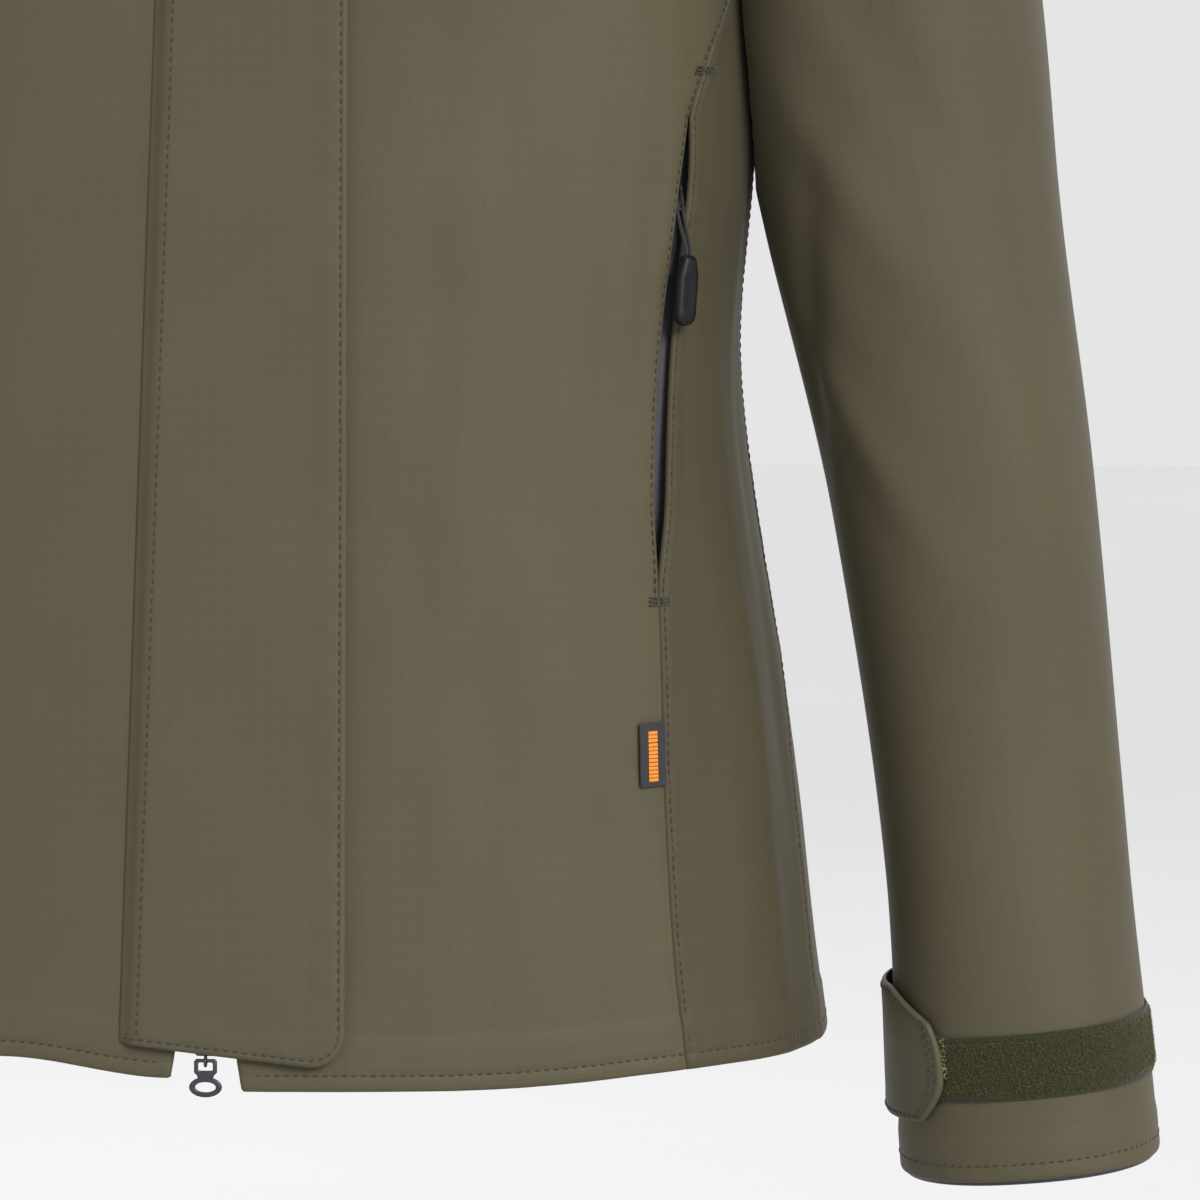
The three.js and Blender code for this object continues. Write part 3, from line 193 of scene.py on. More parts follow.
def body_point(degrees, h):
    """A point of the bare surface. Angle 0 is the wearer's left side, -90 the front."""
    degrees, h = np.broadcast_arrays(np.asarray(degrees, float), np.asarray(h, float))
    c, s = np.cos(np.radians(degrees)), np.sin(np.radians(degrees))
    n = squareness(h)
    x = half_width(h) * signed_power(c, 2 / n)
    depth = np.where(s < 0, front_depth(h), back_depth(h))
    z = h - np.where(s < 0, front_drop(h) * np.abs(s) ** (3 / n), 0)
    bust = np.exp(-(((np.abs(x) - 92) / 42) ** 2) - ((z - SHOULDER + 136) / 75) ** 2)
    fullness = np.where(s < 0, BUST_FULLNESS * bust * smooth(-s, 0, 0.4), 0)
    return np.stack([x, depth * signed_power(s, 2 / n) - fullness, z], -1)


def body_normal(degrees, h):
    across = body_point(degrees + 0.2, h) - body_point(degrees - 0.2, h)
    up = body_point(degrees, h + 0.5) - body_point(degrees, h - 0.5)
    return unit(np.cross(across, up))


# Soft drape of the hung body: angle, height, lean, half width in degrees, half length, rise.
BODY_FOLDS = (
    (-58, 90, 0.020, 5.0, 110, 1.3), (-49, 40, -0.012, 3.6, 90, -1.1), (-24, 70, 0.030, 7.0, 120, 2.6),
    (-10, 110, 0.035, 6.0, 130, -2.2), (-62, 300, 0.060, 5.0, 90, 1.0), (-50, 430, 0.120, 7.0, 70, -1.6),
    (14, 60, 0.010, 9.0, 150, -1.6), (38, 120, 0.030, 8.0, 170, -2.2), (62, 60, 0.020, 7.0, 150, 2.8),
    (84, 130, -0.010, 8.0, 190, -2.6), (104, 60, -0.020, 8.0, 160, 2.6), (128, 110, -0.030, 8.0, 160, -2.4),
    (150, 60, -0.020, 8.0, 150, 2.2), (70, 300, 0.120, 10, 60, -2.0), (108, 330, -0.140, 10, 60, -2.2),
    (58, 430, 0.200, 9.0, 70, 0.9), (122, 440, -0.220, 9.0, 70, 0.9), (168, 100, 0, 7.0, 140, -1.6),
)


def body_fold(degrees, h, side=1):
    """How far the hung cloth stands out of its plain form: drawn in at the hem beside the arms,
    and plain under the flap and at the neck."""
    total = np.zeros(np.broadcast(degrees, h).shape)
    for angle, height, lean, width, length, rise in BODY_FOLDS:
        shift = 3.0 if side < 0 else 0.0
        across = (degrees - angle - shift - lean * (h - height)) / width
        total += rise * np.exp(-(across**2) - ((h - height) / length) ** 2)
    ripple = np.sin(degrees * 0.55 + h * 0.021) * np.sin(degrees * 0.21 - h * 0.034 + 1.0)
    total += 0.35 * ripple
    beside_tab = np.exp(-(((degrees - 12) / 24) ** 2)) * (1 - smooth(h, 30, 90))
    total = lerp(total, -1.7, beside_tab)
    x = np.abs(body_point(degrees, h)[..., 0])
    under_flap = np.where(np.sin(np.radians(degrees)) < 0, smooth(x, 56, 84), 1)
    near_slit = 1 - 0.85 * np.exp(-(((degrees - slit_angle(h)) / 5) ** 2)) * slit_open(h)
    return total * under_flap * near_slit * (1 - smooth(h, 560, 640))


def body_cloth(degrees, h, off=0.0, side=1):
    """A point of the hung cloth at a distance outside its surface, on the chosen side."""
    degrees, h = np.broadcast_arrays(np.asarray(degrees, float), np.asarray(h, float))
    point = body_point(degrees, h)
    point = point + body_normal(degrees, h) * (np.asarray(off) + body_fold(degrees, h, side))[..., None]
    return point * (side, 1, 1)


def angle_at(x, h):
    """The angle at which the front of a ring reaches a given x."""
    share = np.minimum(np.abs(x) / half_width(h), 1)
    angle = np.degrees(np.arccos(share ** (squareness(h) / 2)))
    return np.where(np.asarray(x) >= 0, -angle, -180 + angle)


def hem_lift(degrees, side):
    x = np.abs(body_point(degrees, 0)[..., 0])
    sides = SIDE_HEM_LIFT * smooth(x, 90, 200)
    corner = RIGHT_CORNER_LIFT + RIGHT_FRONT_LIFT * smooth(x, 14, 74)
    right = lerp(corner, sides, smooth(x, 90, 200))
    is_right = (side < 0) & (np.sin(np.radians(degrees)) < 0)
    return np.where(is_right, right, sides)


def lifted(degrees, row, side):
    return row + hem_lift(degrees, side) * (1 - smooth(row, 0, 120))


princess_seam = curve(
    (0, -41.9), (40, -42.3), (102, -41.4), (143, -40.2), (POCKET_BOTTOM, -38.7), (256, -35.3),
    (POCKET_TOP - 10, -31.6), (POCKET_TOP + 23, -24.2), (POCKET_TOP + 48, -14.5), (POCKET_TOP + 103, -6),
)
side_seam = curve((0, -9), (80, -6), (180, 3), (UNDERARM, 8))


def angle_per_mm(h):
    return 90 / (1.55 * (half_width(h) * 0.5 + front_depth(h) * 0.5))


SLIT_BOTTOM = body_point(princess_seam(POCKET_BOTTOM), POCKET_BOTTOM)
SLIT_TOP = body_point(princess_seam(POCKET_TOP), POCKET_TOP)


def slit_angle(h):
    """The slit runs straight between its ends; above and below it is the princess seam."""
    h = np.asarray(h, float)
    share = np.clip((h - POCKET_BOTTOM) / (POCKET_TOP - POCKET_BOTTOM), 0, 1)[..., None]
    point = lerp(SLIT_BOTTOM, SLIT_TOP, share)
    power = squareness(h) / 2
    across = (point[..., 0] / half_width(h)) ** power
    forward = (-point[..., 1] / front_depth(h)) ** power
    straight = -np.degrees(np.arctan2(forward, across))
    return np.where((h <= POCKET_BOTTOM) | (h >= POCKET_TOP), princess_seam(h), straight)


def slit_open(h):
    foot = smooth(h, POCKET_BOTTOM - 4, POCKET_BOTTOM + 34)
    return foot * (1 - smooth(h, POCKET_TOP - 28, POCKET_TOP + 14))


def front_edge_x(h):
    return FRONT_EDGE + EDGE_FLARE * (1 - np.minimum(h / FLARE_HEIGHT, 1)) ** 2


def on_shoulder(h):
    return np.asarray(h) > UNDERARM + 2


LOOP_PLACE = body_point(90, LOOP_TOP) + body_normal(90.0, LOOP_TOP) * (-LOOP_IN - LOOP_BOW)
ORIGIN = np.array([0, LOOP_PLACE[1], LOOP_PLACE[2]])


def world(points):
    """Jacket millimetres to the frame's metres."""
    return (np.asarray(points, float) - ORIGIN) / 1000


# ------------------------------------------------------------------ the sleeve's surface


def forearm(share):
    return lerp(FOREARM_FROM, SLEEVE_DROP - CUFF_SPAN, share)


def forearm_x(share):
    return lerp(CHEST_HALF_WIDTH + 55.5, CUFF_X - 9.5, share)


SLEEVE_STATIONS = np.array([
    (ARMHOLE_DEPTH - 105, CHEST_HALF_WIDTH - 62, 91, 80),
    (ARMHOLE_DEPTH - 96, CHEST_HALF_WIDTH - 24, 92, 76),
    (ARMHOLE_DEPTH - 83, CHEST_HALF_WIDTH, 90, 73),
    (ARMHOLE_DEPTH - 62, CHEST_HALF_WIDTH + 15, 84, 66),
    (ARMHOLE_DEPTH - 31, CHEST_HALF_WIDTH + 27, 74.5, 56),
    (ARMHOLE_DEPTH + 3, CHEST_HALF_WIDTH + 35.5, UPPER_SLEEVE_HALF_WIDTH + 5, 45),
    (ARMHOLE_DEPTH + 38, CHEST_HALF_WIDTH + 42, UPPER_SLEEVE_HALF_WIDTH + 2, 35),
    (ARMHOLE_DEPTH + 83, CHEST_HALF_WIDTH + 48, UPPER_SLEEVE_HALF_WIDTH - 2, 25),
    (forearm(0), forearm_x(0), ELBOW_HALF_WIDTH + 3, 14),
    (forearm(0.43), forearm_x(0.526), ELBOW_HALF_WIDTH - 3, 9),
    (forearm(1), forearm_x(1), CUFF_HALF_WIDTH - 3, 6),
    (SLEEVE_DROP, CUFF_X, CUFF_HALF_WIDTH, 5),
    (SLEEVE_DROP + 20, CUFF_X + 1.7, CUFF_HALF_WIDTH, 5),
])
sleeve_x, sleeve_half_width, sleeve_tilt = (
    curve(*SLEEVE_STATIONS[:, (0, column)]) for column in (1, 2, 3)
)
sleeve_y = curve((ARMHOLE_DEPTH, 4), (forearm(0.43), -2), (SLEEVE_DROP, CUFF_Y))
sleeve_half_depth = curve(
    (ARMHOLE_DEPTH - 105, 62), (ARMHOLE_DEPTH + 15, 67), (forearm(0), ELBOW_HALF_WIDTH + 7),
    (forearm(0.43), ELBOW_HALF_WIDTH + 1), (forearm(1), CUFF_HALF_WIDTH + 1),
    (SLEEVE_DROP, CUFF_HALF_WIDTH),
)

# Soft creases of the hung sleeve: angle, drop, lean, half width in degrees, half length, rise.
SLEEVE_FOLDS = (
    (-128, 395, 0.50, 12, 46, 2.6), (-142, 345, -0.34, 10, 52, -2.8), (-112, 300, 0.42, 11, 60, 2.2),
    (-96, 245, 0.30, 10, 60, -2.0), (-60, 420, 0.16, 16, 90, 1.6), (-36, 330, 0.10, 12, 110, -1.4),
    (-74, 520, -0.10, 12, 70, -1.2), (20, 300, 0.12, 16, 120, 1.8), (58, 380, -0.30, 14, 60, 2.6),
    (84, 330, 0.42, 12, 56, -2.6), (112, 400, -0.40, 12, 50, 2.4), (70, 200, 0.20, 14, 70, -2.0),
    (-70, 175, -0.20, 12, 60, 2.0), (140, 300, 0.30, 12, 60, 2.2), (-20, 540, 0.06, 14, 80, 1.2),
)


def sleeve_fold(degrees, drop):
    degrees = (degrees + 180) % 360 - 180
    total = np.zeros(np.broadcast(degrees, drop).shape)
    for angle, level, lean, width, length, rise in SLEEVE_FOLDS:
        across = degrees - angle - lean * (drop - level)
        across = (across + 180) % 360 - 180
        total += rise * np.exp(-((across / width) ** 2) - ((drop - level) / length) ** 2)
    return total * (1 - smooth(drop, 540, 604)) * smooth(drop, 120, 190)


def body_reach(y, h):
    n = squareness(h)
    share = np.minimum(np.abs(y) / np.where(y < 0, front_depth(h), back_depth(h)), 1)
    return half_width(h) * (1 - share**n) ** (1 / n)


def sleeve_point(degrees, drop, off=0.0):
    """A point of the left sleeve. Angle 0 faces outwards, 90 back; it is flat beside the body."""
    degrees, drop = np.broadcast_arrays(np.asarray(degrees, float), np.asarray(drop, float))
    off = np.asarray(off) + sleeve_fold(degrees, drop)
    tilt = np.radians(sleeve_tilt(drop))
    c = signed_power(np.cos(np.radians(degrees)), 2 / 2.2)
    s = signed_power(np.sin(np.radians(degrees)), 2 / 2.2)
    reach = (sleeve_half_width(drop) + off) * c
    x = sleeve_x(drop) + np.cos(tilt) * reach
    y = sleeve_y(drop) + (sleeve_half_depth(drop) + off) * s
    z = SHOULDER - drop + np.sin(tilt) * reach
    release = 70 * smooth(z, UNDERARM - 8, UNDERARM + 18)
    limit = body_reach(y, np.maximum(z, 0)) + SLEEVE_CLEAR - off - release
    return np.stack([np.where(z > -20, np.maximum(x, limit), x), y, z], -1)


def sleeve_cloth(degrees, drop, off=0.0, side=1):
    return sleeve_point(degrees, drop, off) * (side, 1, 1)


def sleeve_normal(degrees, drop, side=1):
    across = sleeve_point(degrees + 0.3, drop) - sleeve_point(degrees - 0.3, drop)
    down = sleeve_point(degrees, drop + 0.5) - sleeve_point(degrees, drop - 0.5)
    return unit(np.cross(down, across)) * (side, 1, 1)


# ------------------------------------------------------------------ the zip's own space
# x across, y inwards, z up along the zip.

LEAN = math.atan(FRONT_LEAN)


def to_closure(points):
    x, y, z = np.moveaxis(np.asarray(points, float) + (0, HEM_FRONT_DEPTH, 0), -1, 0)
    return np.stack([x, y * math.cos(LEAN) - z * math.sin(LEAN), y * math.sin(LEAN) + z * math.cos(LEAN)], -1)


def from_closure(points):
    x, y, z = np.moveaxis(np.asarray(points, float), -1, 0)
    c, s = math.cos(LEAN), math.sin(LEAN)
    return np.stack([x, y * c + z * s, -y * s + z * c], -1) - (0, HEM_FRONT_DEPTH, 0)


def front_surface(x, z, off=0.0):
    """A point in front of the body's front, given across and along the zip."""
    x, z = np.broadcast_arrays(np.asarray(x, float), np.asarray(z, float))
    low, high = z - 10, np.minimum(z + FRONT_NECK_DROP + 30, COLLAR_TOP)
    for _ in range(34):
        middle = (low + high) / 2
        under = to_closure(body_point(angle_at(x, middle), middle))[..., 2] < z
        low, high = np.where(under, middle, low), np.where(under, high, middle)
    y = to_closure(body_point(angle_at(x, low), low))[..., 1]
    return from_closure(np.stack([x, y - off, z], -1))


def flap_root(z):
    return FLAP_ROOT_AT_FOOT + FLAP_ROOT_SLANT * (z - ZIP_FOOT)


# ------------------------------------------------------------------ meshes


def linked(name, data):
    """A new object in the scene for a mesh, a curve, a light or a camera."""
    obj = bpy.data.objects.new(name, data)
    bpy.context.collection.objects.link(obj)
    return obj


def numbered(grid):
    """The point numbers of a grid, in its own rows and columns."""
    rows, columns = grid.shape[:2]
    return np.arange(rows * columns).reshape(rows, columns)


def quads(lower, upper):
    """The four-sided faces between rows of point numbers that go right round."""
    return np.stack([lower, np.roll(lower, -1, -1), np.roll(upper, -1, -1), upper], -1).reshape(-1, 4)


def patch_quads(index):
    """The four-sided faces of a grid of point numbers that is open on all sides."""
    return np.stack([index[:-1, :-1], index[:-1, 1:], index[1:, 1:], index[1:, :-1]], -1).reshape(-1, 4)


def handed(side, *grids):
    """Turns grids round on the right-hand side, so that their faces still point outwards."""
    return grids if side > 0 else tuple(grid[:, ::-1] for grid in grids)


def make_mesh(name, points, faces, uv=None, slots=None):
    """A mesh object from jacket millimetres and an array of quads (a repeated corner is a triangle)."""
    faces = np.asarray(faces, np.int32)
    mesh = bpy.data.meshes.new(name)
    mesh.vertices.add(len(points))
    mesh.vertices.foreach_set("co", world(points).astype(np.float32).ravel())
    three = faces[:, 3] == faces[:, 2]
    order = np.concatenate([np.nonzero(~three)[0], np.nonzero(three)[0]])
    quads, triangles = faces[~three], faces[three][:, :3]
    corners = np.concatenate([quads.ravel(), triangles.ravel()])
    starts = np.concatenate([np.arange(len(quads)) * 4, len(quads) * 4 + np.arange(len(triangles)) * 3])
    mesh.loops.add(len(corners))
    mesh.loops.foreach_set("vertex_index", corners)
    mesh.polygons.add(len(starts))
    mesh.polygons.foreach_set("loop_start", starts)
    mesh.polygons.foreach_set("use_smooth", np.ones(len(starts), bool))
    if slots is not None:
        mesh.polygons.foreach_set("material_index", np.asarray(slots, np.int32)[order])
    if uv is not None:
        layer = mesh.uv_layers.new(name="cloth")
        layer.data.foreach_set("uv", (np.asarray(uv)[corners] / 1000).astype(np.float32).ravel())
    mesh.update(calc_edges=True)
    mesh.validate()
    return linked(name, mesh)


def rim_rings(outer, inner, away, count=3):
    """Rounded edge points between an outer and an inner border."""
    middle, half = (outer + inner) / 2, (outer - inner) / 2
    radius = np.linalg.norm(half, axis=-1, keepdims=True)
    rings = []
    for step in range(1, count + 1):
        turn = math.pi * step / (count + 1)
        rings.append(middle + half * math.cos(turn) + away * radius * 0.9 * math.sin(turn))
    return rings


def cloth_sheet(name, outer, inner, uv):
    """A closed sheet of cloth between two grids of points, with rounded edges.
    Slot 0 is its face and slot 1 its back. Rows go up and columns go round."""
    index = numbered(outer)
    border = np.concatenate([index[0, :-1], index[:-1, -1], index[-1, :0:-1], index[:0:-1, 0]])
    inward = np.concatenate([index[1, :-1], index[:-1, -2], index[-2, :0:-1], index[:0:-1, 1]])
    flat = outer.reshape(-1, 3)
    away = unit(flat[border] - flat[inward])
    back = inner.reshape(-1, 3)
    rings = rim_rings(flat[border], back[border], away)
    points = np.concatenate([flat, back, *rings])
    total, edge = index.size, len(border)
    face = patch_quads(index)
    faces, slots = [face, face[:, ::-1] + total], [np.zeros(len(face)), np.ones(len(face))]
    loops = [border] + [2 * total + k * edge + np.arange(edge) for k in range(len(rings))] + [border + total]
    for upper, lower in zip(loops, loops[1:]):
        following, below = np.roll(upper, -1), np.roll(lower, -1)
        faces.append(np.stack([upper, lower, below, following], -1))
        slots.append(np.zeros(edge))
    flat_uv = uv.reshape(-1, 2)
    all_uv = np.concatenate([flat_uv, flat_uv, *[flat_uv[border]] * len(rings)])
    return make_mesh(name, points, np.concatenate(faces), all_uv, np.concatenate(slots))


def cloth_tube(name, outer, inner, uv_width):
    """A closed tube wall between two grids whose columns go round; rounded at both ends."""
    index = numbered(outer)
    face = quads(index[:-1], index[1:])
    columns, total = index.shape[1], index.size
    faces, slots = [face[:, ::-1], face + total], [np.zeros(len(face)), np.ones(len(face))]
    points = [outer.reshape(-1, 3), inner.reshape(-1, 3)]
    count = 2 * total
    for end, near, flip in ((0, 1, False), (-1, -2, True)):
        rings = rim_rings(outer[end], inner[end], unit(outer[end] - outer[near]))
        loops = [index[end]]
        for ring in rings:
            points.append(ring)
            loops.append(count + np.arange(columns))
            count += columns
        loops.append(index[end] + total)
        for upper, lower in zip(loops, loops[1:]):
            quad = quads(upper, lower)
            faces.append(quad[:, ::-1] if flip else quad)
            slots.append(np.zeros(columns))
    points = np.concatenate(points)
    obj = make_mesh(name, points, np.concatenate(faces), None, np.concatenate(slots))
    layer = obj.data.uv_layers.new(name="cloth")
    corners = np.empty(len(obj.data.loops), np.int32)
    obj.data.loops.foreach_get("vertex_index", corners)
    column = np.where(corners < 2 * total, corners % columns, (corners - 2 * total) % columns)
    starts = np.empty(len(obj.data.polygons), np.int32)
    obj.data.polygons.foreach_get("loop_start", starts)
    first = np.repeat(column[starts], np.diff(np.append(starts, len(corners))))
    wrapped = np.where((column < columns / 4) & (first > columns / 2), column + columns, column)
    wrapped = np.where((column > columns * 3 / 4) & (first < columns / 2), column - columns, wrapped)
    height = world(points)[corners, 2] * 1000
    layer.data.foreach_set("uv", (np.stack([wrapped * uv_width / columns, height], -1) / 1000).ravel())
    return obj


def solid_loft(name, rings):
    """A closed solid through rings of points; used only to cut with."""
    rings = np.asarray(rings)
    index = numbered(rings)
    points = np.concatenate([rings.reshape(-1, 3), [rings[0].mean(0), rings[-1].mean(0)]])
    return make_mesh(name, points, np.concatenate([quads(index[:-1], index[1:]), *end_fans(index)]))


def end_fans(index):
    """Closes both ends of a tube: its last two points are the middles of its ends."""
    first, last = index[0], index[-1]
    floor = np.stack([np.full(len(first), index.size), np.roll(first, -1), first, first], -1)
    turned = np.roll(last, -1)
    return floor, np.stack([np.full(len(last), index.size + 1), last, turned, turned], -1)


def tube(points, radius, name, corners=8, closed=False):
    """A round thread or cord along a path of points, with its uv along its length."""
    points = np.asarray(points, float)
    if closed:
        tangent = unit(np.roll(points, -1, 0) - np.roll(points, 1, 0))
    else:
        tangent = unit(np.gradient(points, axis=0))
    side = np.cross(tangent[0], (0, 0, 1) if abs(tangent[0][2]) < 0.9 else (1, 0, 0))
    frames = []
    for direction in tangent:
        side = unit(side - direction * np.dot(side, direction))
        frames.append((side, np.cross(direction, side)))
    turns = np.linspace(0, 2 * math.pi, corners, endpoint=False)
    rings = [
        p + radius * (np.outer(np.cos(turns), u) + np.outer(np.sin(turns), v))
        for p, (u, v) in zip(points, frames)
    ]
    rows = len(rings)
    index = np.arange(rows * corners).reshape(rows, corners)
    face = quads(index, np.roll(index, -1, axis=0)) if closed else quads(index[:-1], index[1:])
    flat_points = np.concatenate(rings)
    travelled = np.concatenate([[0], np.cumsum(np.linalg.norm(np.diff(points, axis=0), axis=1))])
    uv = np.stack([np.tile(turns * radius, rows), np.repeat(travelled, corners)], -1)
    if not closed:
        flat_points = np.concatenate([flat_points, points[:1], points[-1:]])
        uv = np.concatenate([uv, [[0, 0], [0, travelled[-1]]]])
        face = np.concatenate([face, *end_fans(index)])
    return make_mesh(name, flat_points, face, uv)


def joined(name, parts):
    """One mesh object out of several."""
    with bpy.context.temp_override(active_object=parts[0], selected_editable_objects=parts):
        bpy.ops.object.join()
    parts[0].name = name
    return parts[0]


def evaluated(obj):
    """Turns an object's modifiers into plain mesh."""
    graph = bpy.context.evaluated_depsgraph_get()
    mesh = bpy.data.meshes.new_from_object(obj.evaluated_get(graph))
    obj.modifiers.clear()
    obj.data = mesh
    return obj


def cut(obj, *cutters):
    for cutter in cutters:
        boolean = obj.modifiers.new("cut", "BOOLEAN")
        boolean.operation, boolean.solver, boolean.object = "DIFFERENCE", "MANIFOLD", cutter
    evaluated(obj)
    if not len(obj.data.polygons):
        raise RuntimeError(f"{obj.name} came out empty")
    return obj


def both_sides(right):
    """A closed outline from the points of its right half, in order, and their mirror images."""
    return [(-right[0][0], right[0][1])] + right + [(-x, z) for x, z in right[:0:-1]]


def plate(name, outlines, thickness, bevel, place):
    """A flat piece with rounded edges from closed outlines, the first its rim, placed by a function."""
    shape = bpy.data.curves.new(name, "CURVE")
    shape.dimensions, shape.fill_mode = "2D", "BOTH"
    shape.extrude, shape.bevel_depth, shape.bevel_resolution = thickness / 2 - bevel, bevel, 2
    shape.offset = -bevel
    for outline in outlines:
        spline = shape.splines.new("POLY")
        spline.points.add(len(outline) - 1)
        spline.points.foreach_set("co", np.array([(x, z, 0, 1) for x, z in outline], np.float32).ravel())
        spline.use_cyclic_u = True
    draft = linked(name, shape)
    graph = bpy.context.evaluated_depsgraph_get()
    mesh = bpy.data.meshes.new_from_object(draft.evaluated_get(graph))
    bpy.data.objects.remove(draft)
    flat = np.empty(len(mesh.vertices) * 3, np.float32)
    mesh.vertices.foreach_get("co", flat)
    flat = flat.reshape(-1, 3)
    placed = world(place(flat[:, 0], -flat[:, 2], flat[:, 1])).astype(np.float32)
    mesh.vertices.foreach_set("co", placed.ravel())
    obj = linked(name, mesh)
    tidy_shell(obj)
    return obj


SMOOTH_UNDER = math.radians(35)


def tidy_shell(obj):
    """Closes doubled points, turns faces outwards and shades all but the sharp edges smooth."""
    work = bmesh.new()
    work.from_mesh(obj.data)
    bmesh.ops.remove_doubles(work, verts=work.verts, dist=2e-6)
    bmesh.ops.recalc_face_normals(work, faces=work.faces)
    for edge in work.edges:
        edge.smooth = len(edge.link_faces) != 2 or edge.calc_face_angle(0) < SMOOTH_UNDER
    for face in work.faces:
        face.smooth = True
    work.to_mesh(obj.data)
    work.free()


def finish_piece(obj, materials, body, node=None, blend=None):
    """Gives a finished piece its materials, the body it moves with and the node it stands for."""
    obj.data.materials.clear()
    for finish in materials if isinstance(materials, list) else [materials]:
        obj.data.materials.append(finish)
    if blend:
        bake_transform(obj)
    else:
        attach(obj, body)
    if node:
        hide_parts(node)
    return obj


def declare_cloth(grid):
    """Works out a piece's flat width, length and area from its grid; nothing keeps them."""
    across = np.linalg.norm(np.diff(grid, axis=1), axis=-1).sum(1)
    along = np.linalg.norm(np.diff(grid, axis=0), axis=-1).sum(0)
    width, length = across.max() / 1000, along.max() / 1000
    heights = np.linalg.norm(np.diff(grid, axis=0), axis=-1).mean(1)
    area = float((heights * (across[1:] + across[:-1]) / 2).sum()) / 1e6
    area = min(max(area, 0.31 * width * length), width * length)


# ------------------------------------------------------------------ materials


def linear(hex_colour):
    """An sRGB hex colour as linear red, green, blue and alpha."""
    parts = [int(hex_colour[i : i + 2], 16) / 255 for i in (1, 3, 5)]
    return [c / 12.92 if c <= 0.04045 else ((c + 0.055) / 1.055) ** 2.4 for c in parts] + [1.0]


def scaled(colour, factor):
    return [min(c * factor, 1) for c in colour[:3]] + [1.0]


def add(tree, kind, inputs=None, **settings):
    """Adds a node with its settings and its inputs, which are values or another node's output."""
    node = tree.nodes.new(kind)
    for key, value in settings.items():
        setattr(node, key, value)
    for key, value in (inputs or {}).items():
        if isinstance(value, bpy.types.NodeSocket):
            tree.links.new(value, node.inputs[key])
        else:
            node.inputs[key].default_value = value
    return node


def new_material(name, roughness, **sockets):
    """A material with its shader and the sockets that are the same all over its surface."""
    material = bpy.data.materials.new(name)
    material.use_nodes = True
    tree = material.node_tree
    shader = tree.nodes["Principled BSDF"]
    shader.inputs["Roughness"].default_value = roughness
    for key, value in sockets.items():
        shader.inputs[key.replace("_", " ")].default_value = value
    return material, tree, shader


def mapped(tree, scale, source="UV", turn=0.0):
    """Pattern coordinates, so many repeats to the metre, from the piece's cloth or its place."""
    coordinates = tree.nodes.new("ShaderNodeTexCoord")
    scale = scale if hasattr(scale, "__len__") else (scale,) * 3
    mapping = add(tree, "ShaderNodeMapping", {0: coordinates.outputs[source], "Scale": scale})
    mapping.inputs["Rotation"].default_value = (0, 0, turn)
    return mapping.outputs[0]


def mottled(tree, shader, colour, vector, share=0.07, detail=5.0):
    """Colours a surface with soft patches of a lighter and a darker shade of one colour."""
    inputs = {"Vector": vector, "Scale": 1.0, "Detail": detail, "Roughness": 0.55}
    noise = add(tree, "ShaderNodeTexNoise", inputs)
    ramp = add(tree, "ShaderNodeValToRGB", {0: noise.outputs[0]})
    ramp.color_ramp.elements[0].position, ramp.color_ramp.elements[1].position = 0.3, 0.7
    ramp.color_ramp.elements[0].color = scaled(colour, 1 - share)
    ramp.color_ramp.elements[1].color = scaled(colour, 1 + share)
    tree.links.new(ramp.outputs[0], shader.inputs["Base Color"])
    return ramp


def shaded(tree, shader, ramp, mask, factor):
    """Multiplies a colour by a factor where a mask is 1."""
    mix = add(tree, "ShaderNodeMix", {"Factor": mask}, data_type="RGBA", blend_type="MULTIPLY")
    colour_in = [s for s in mix.inputs if s.type == "RGBA"]
    tree.links.new(ramp.outputs[0], colour_in[0])
    colour_in[1].default_value = (factor, factor, factor, 1)
    result = [s for s in mix.outputs if s.type == "RGBA"][0]
    tree.links.new(result, shader.inputs["Base Color"])


def threads(tree, vector, direction, scale):
    """Bands of yarn across one direction, from 0 to 1."""
    wave = add(
        tree, "ShaderNodeTexWave", {"Vector": vector, "Scale": scale, "Distortion": 0.35, "Detail": 1.0},
        wave_type="BANDS", bands_direction=direction, wave_profile="SIN",
    )
    return wave.outputs[1]


def maths(tree, operation, *values):
    return add(tree, "ShaderNodeMath", dict(enumerate(values)), operation=operation).outputs[0]


def bumped(tree, shader, height, strength, distance):
    bump = add(tree, "ShaderNodeBump", {"Height": height, "Strength": strength, "Distance": distance})
    tree.links.new(bump.outputs[0], shader.inputs["Normal"])


# A wave texture's band is 2 pi / 20 units wide at a scale of 1, so this many repeats make one unit.
BANDS_PER_UNIT = math.pi / 10


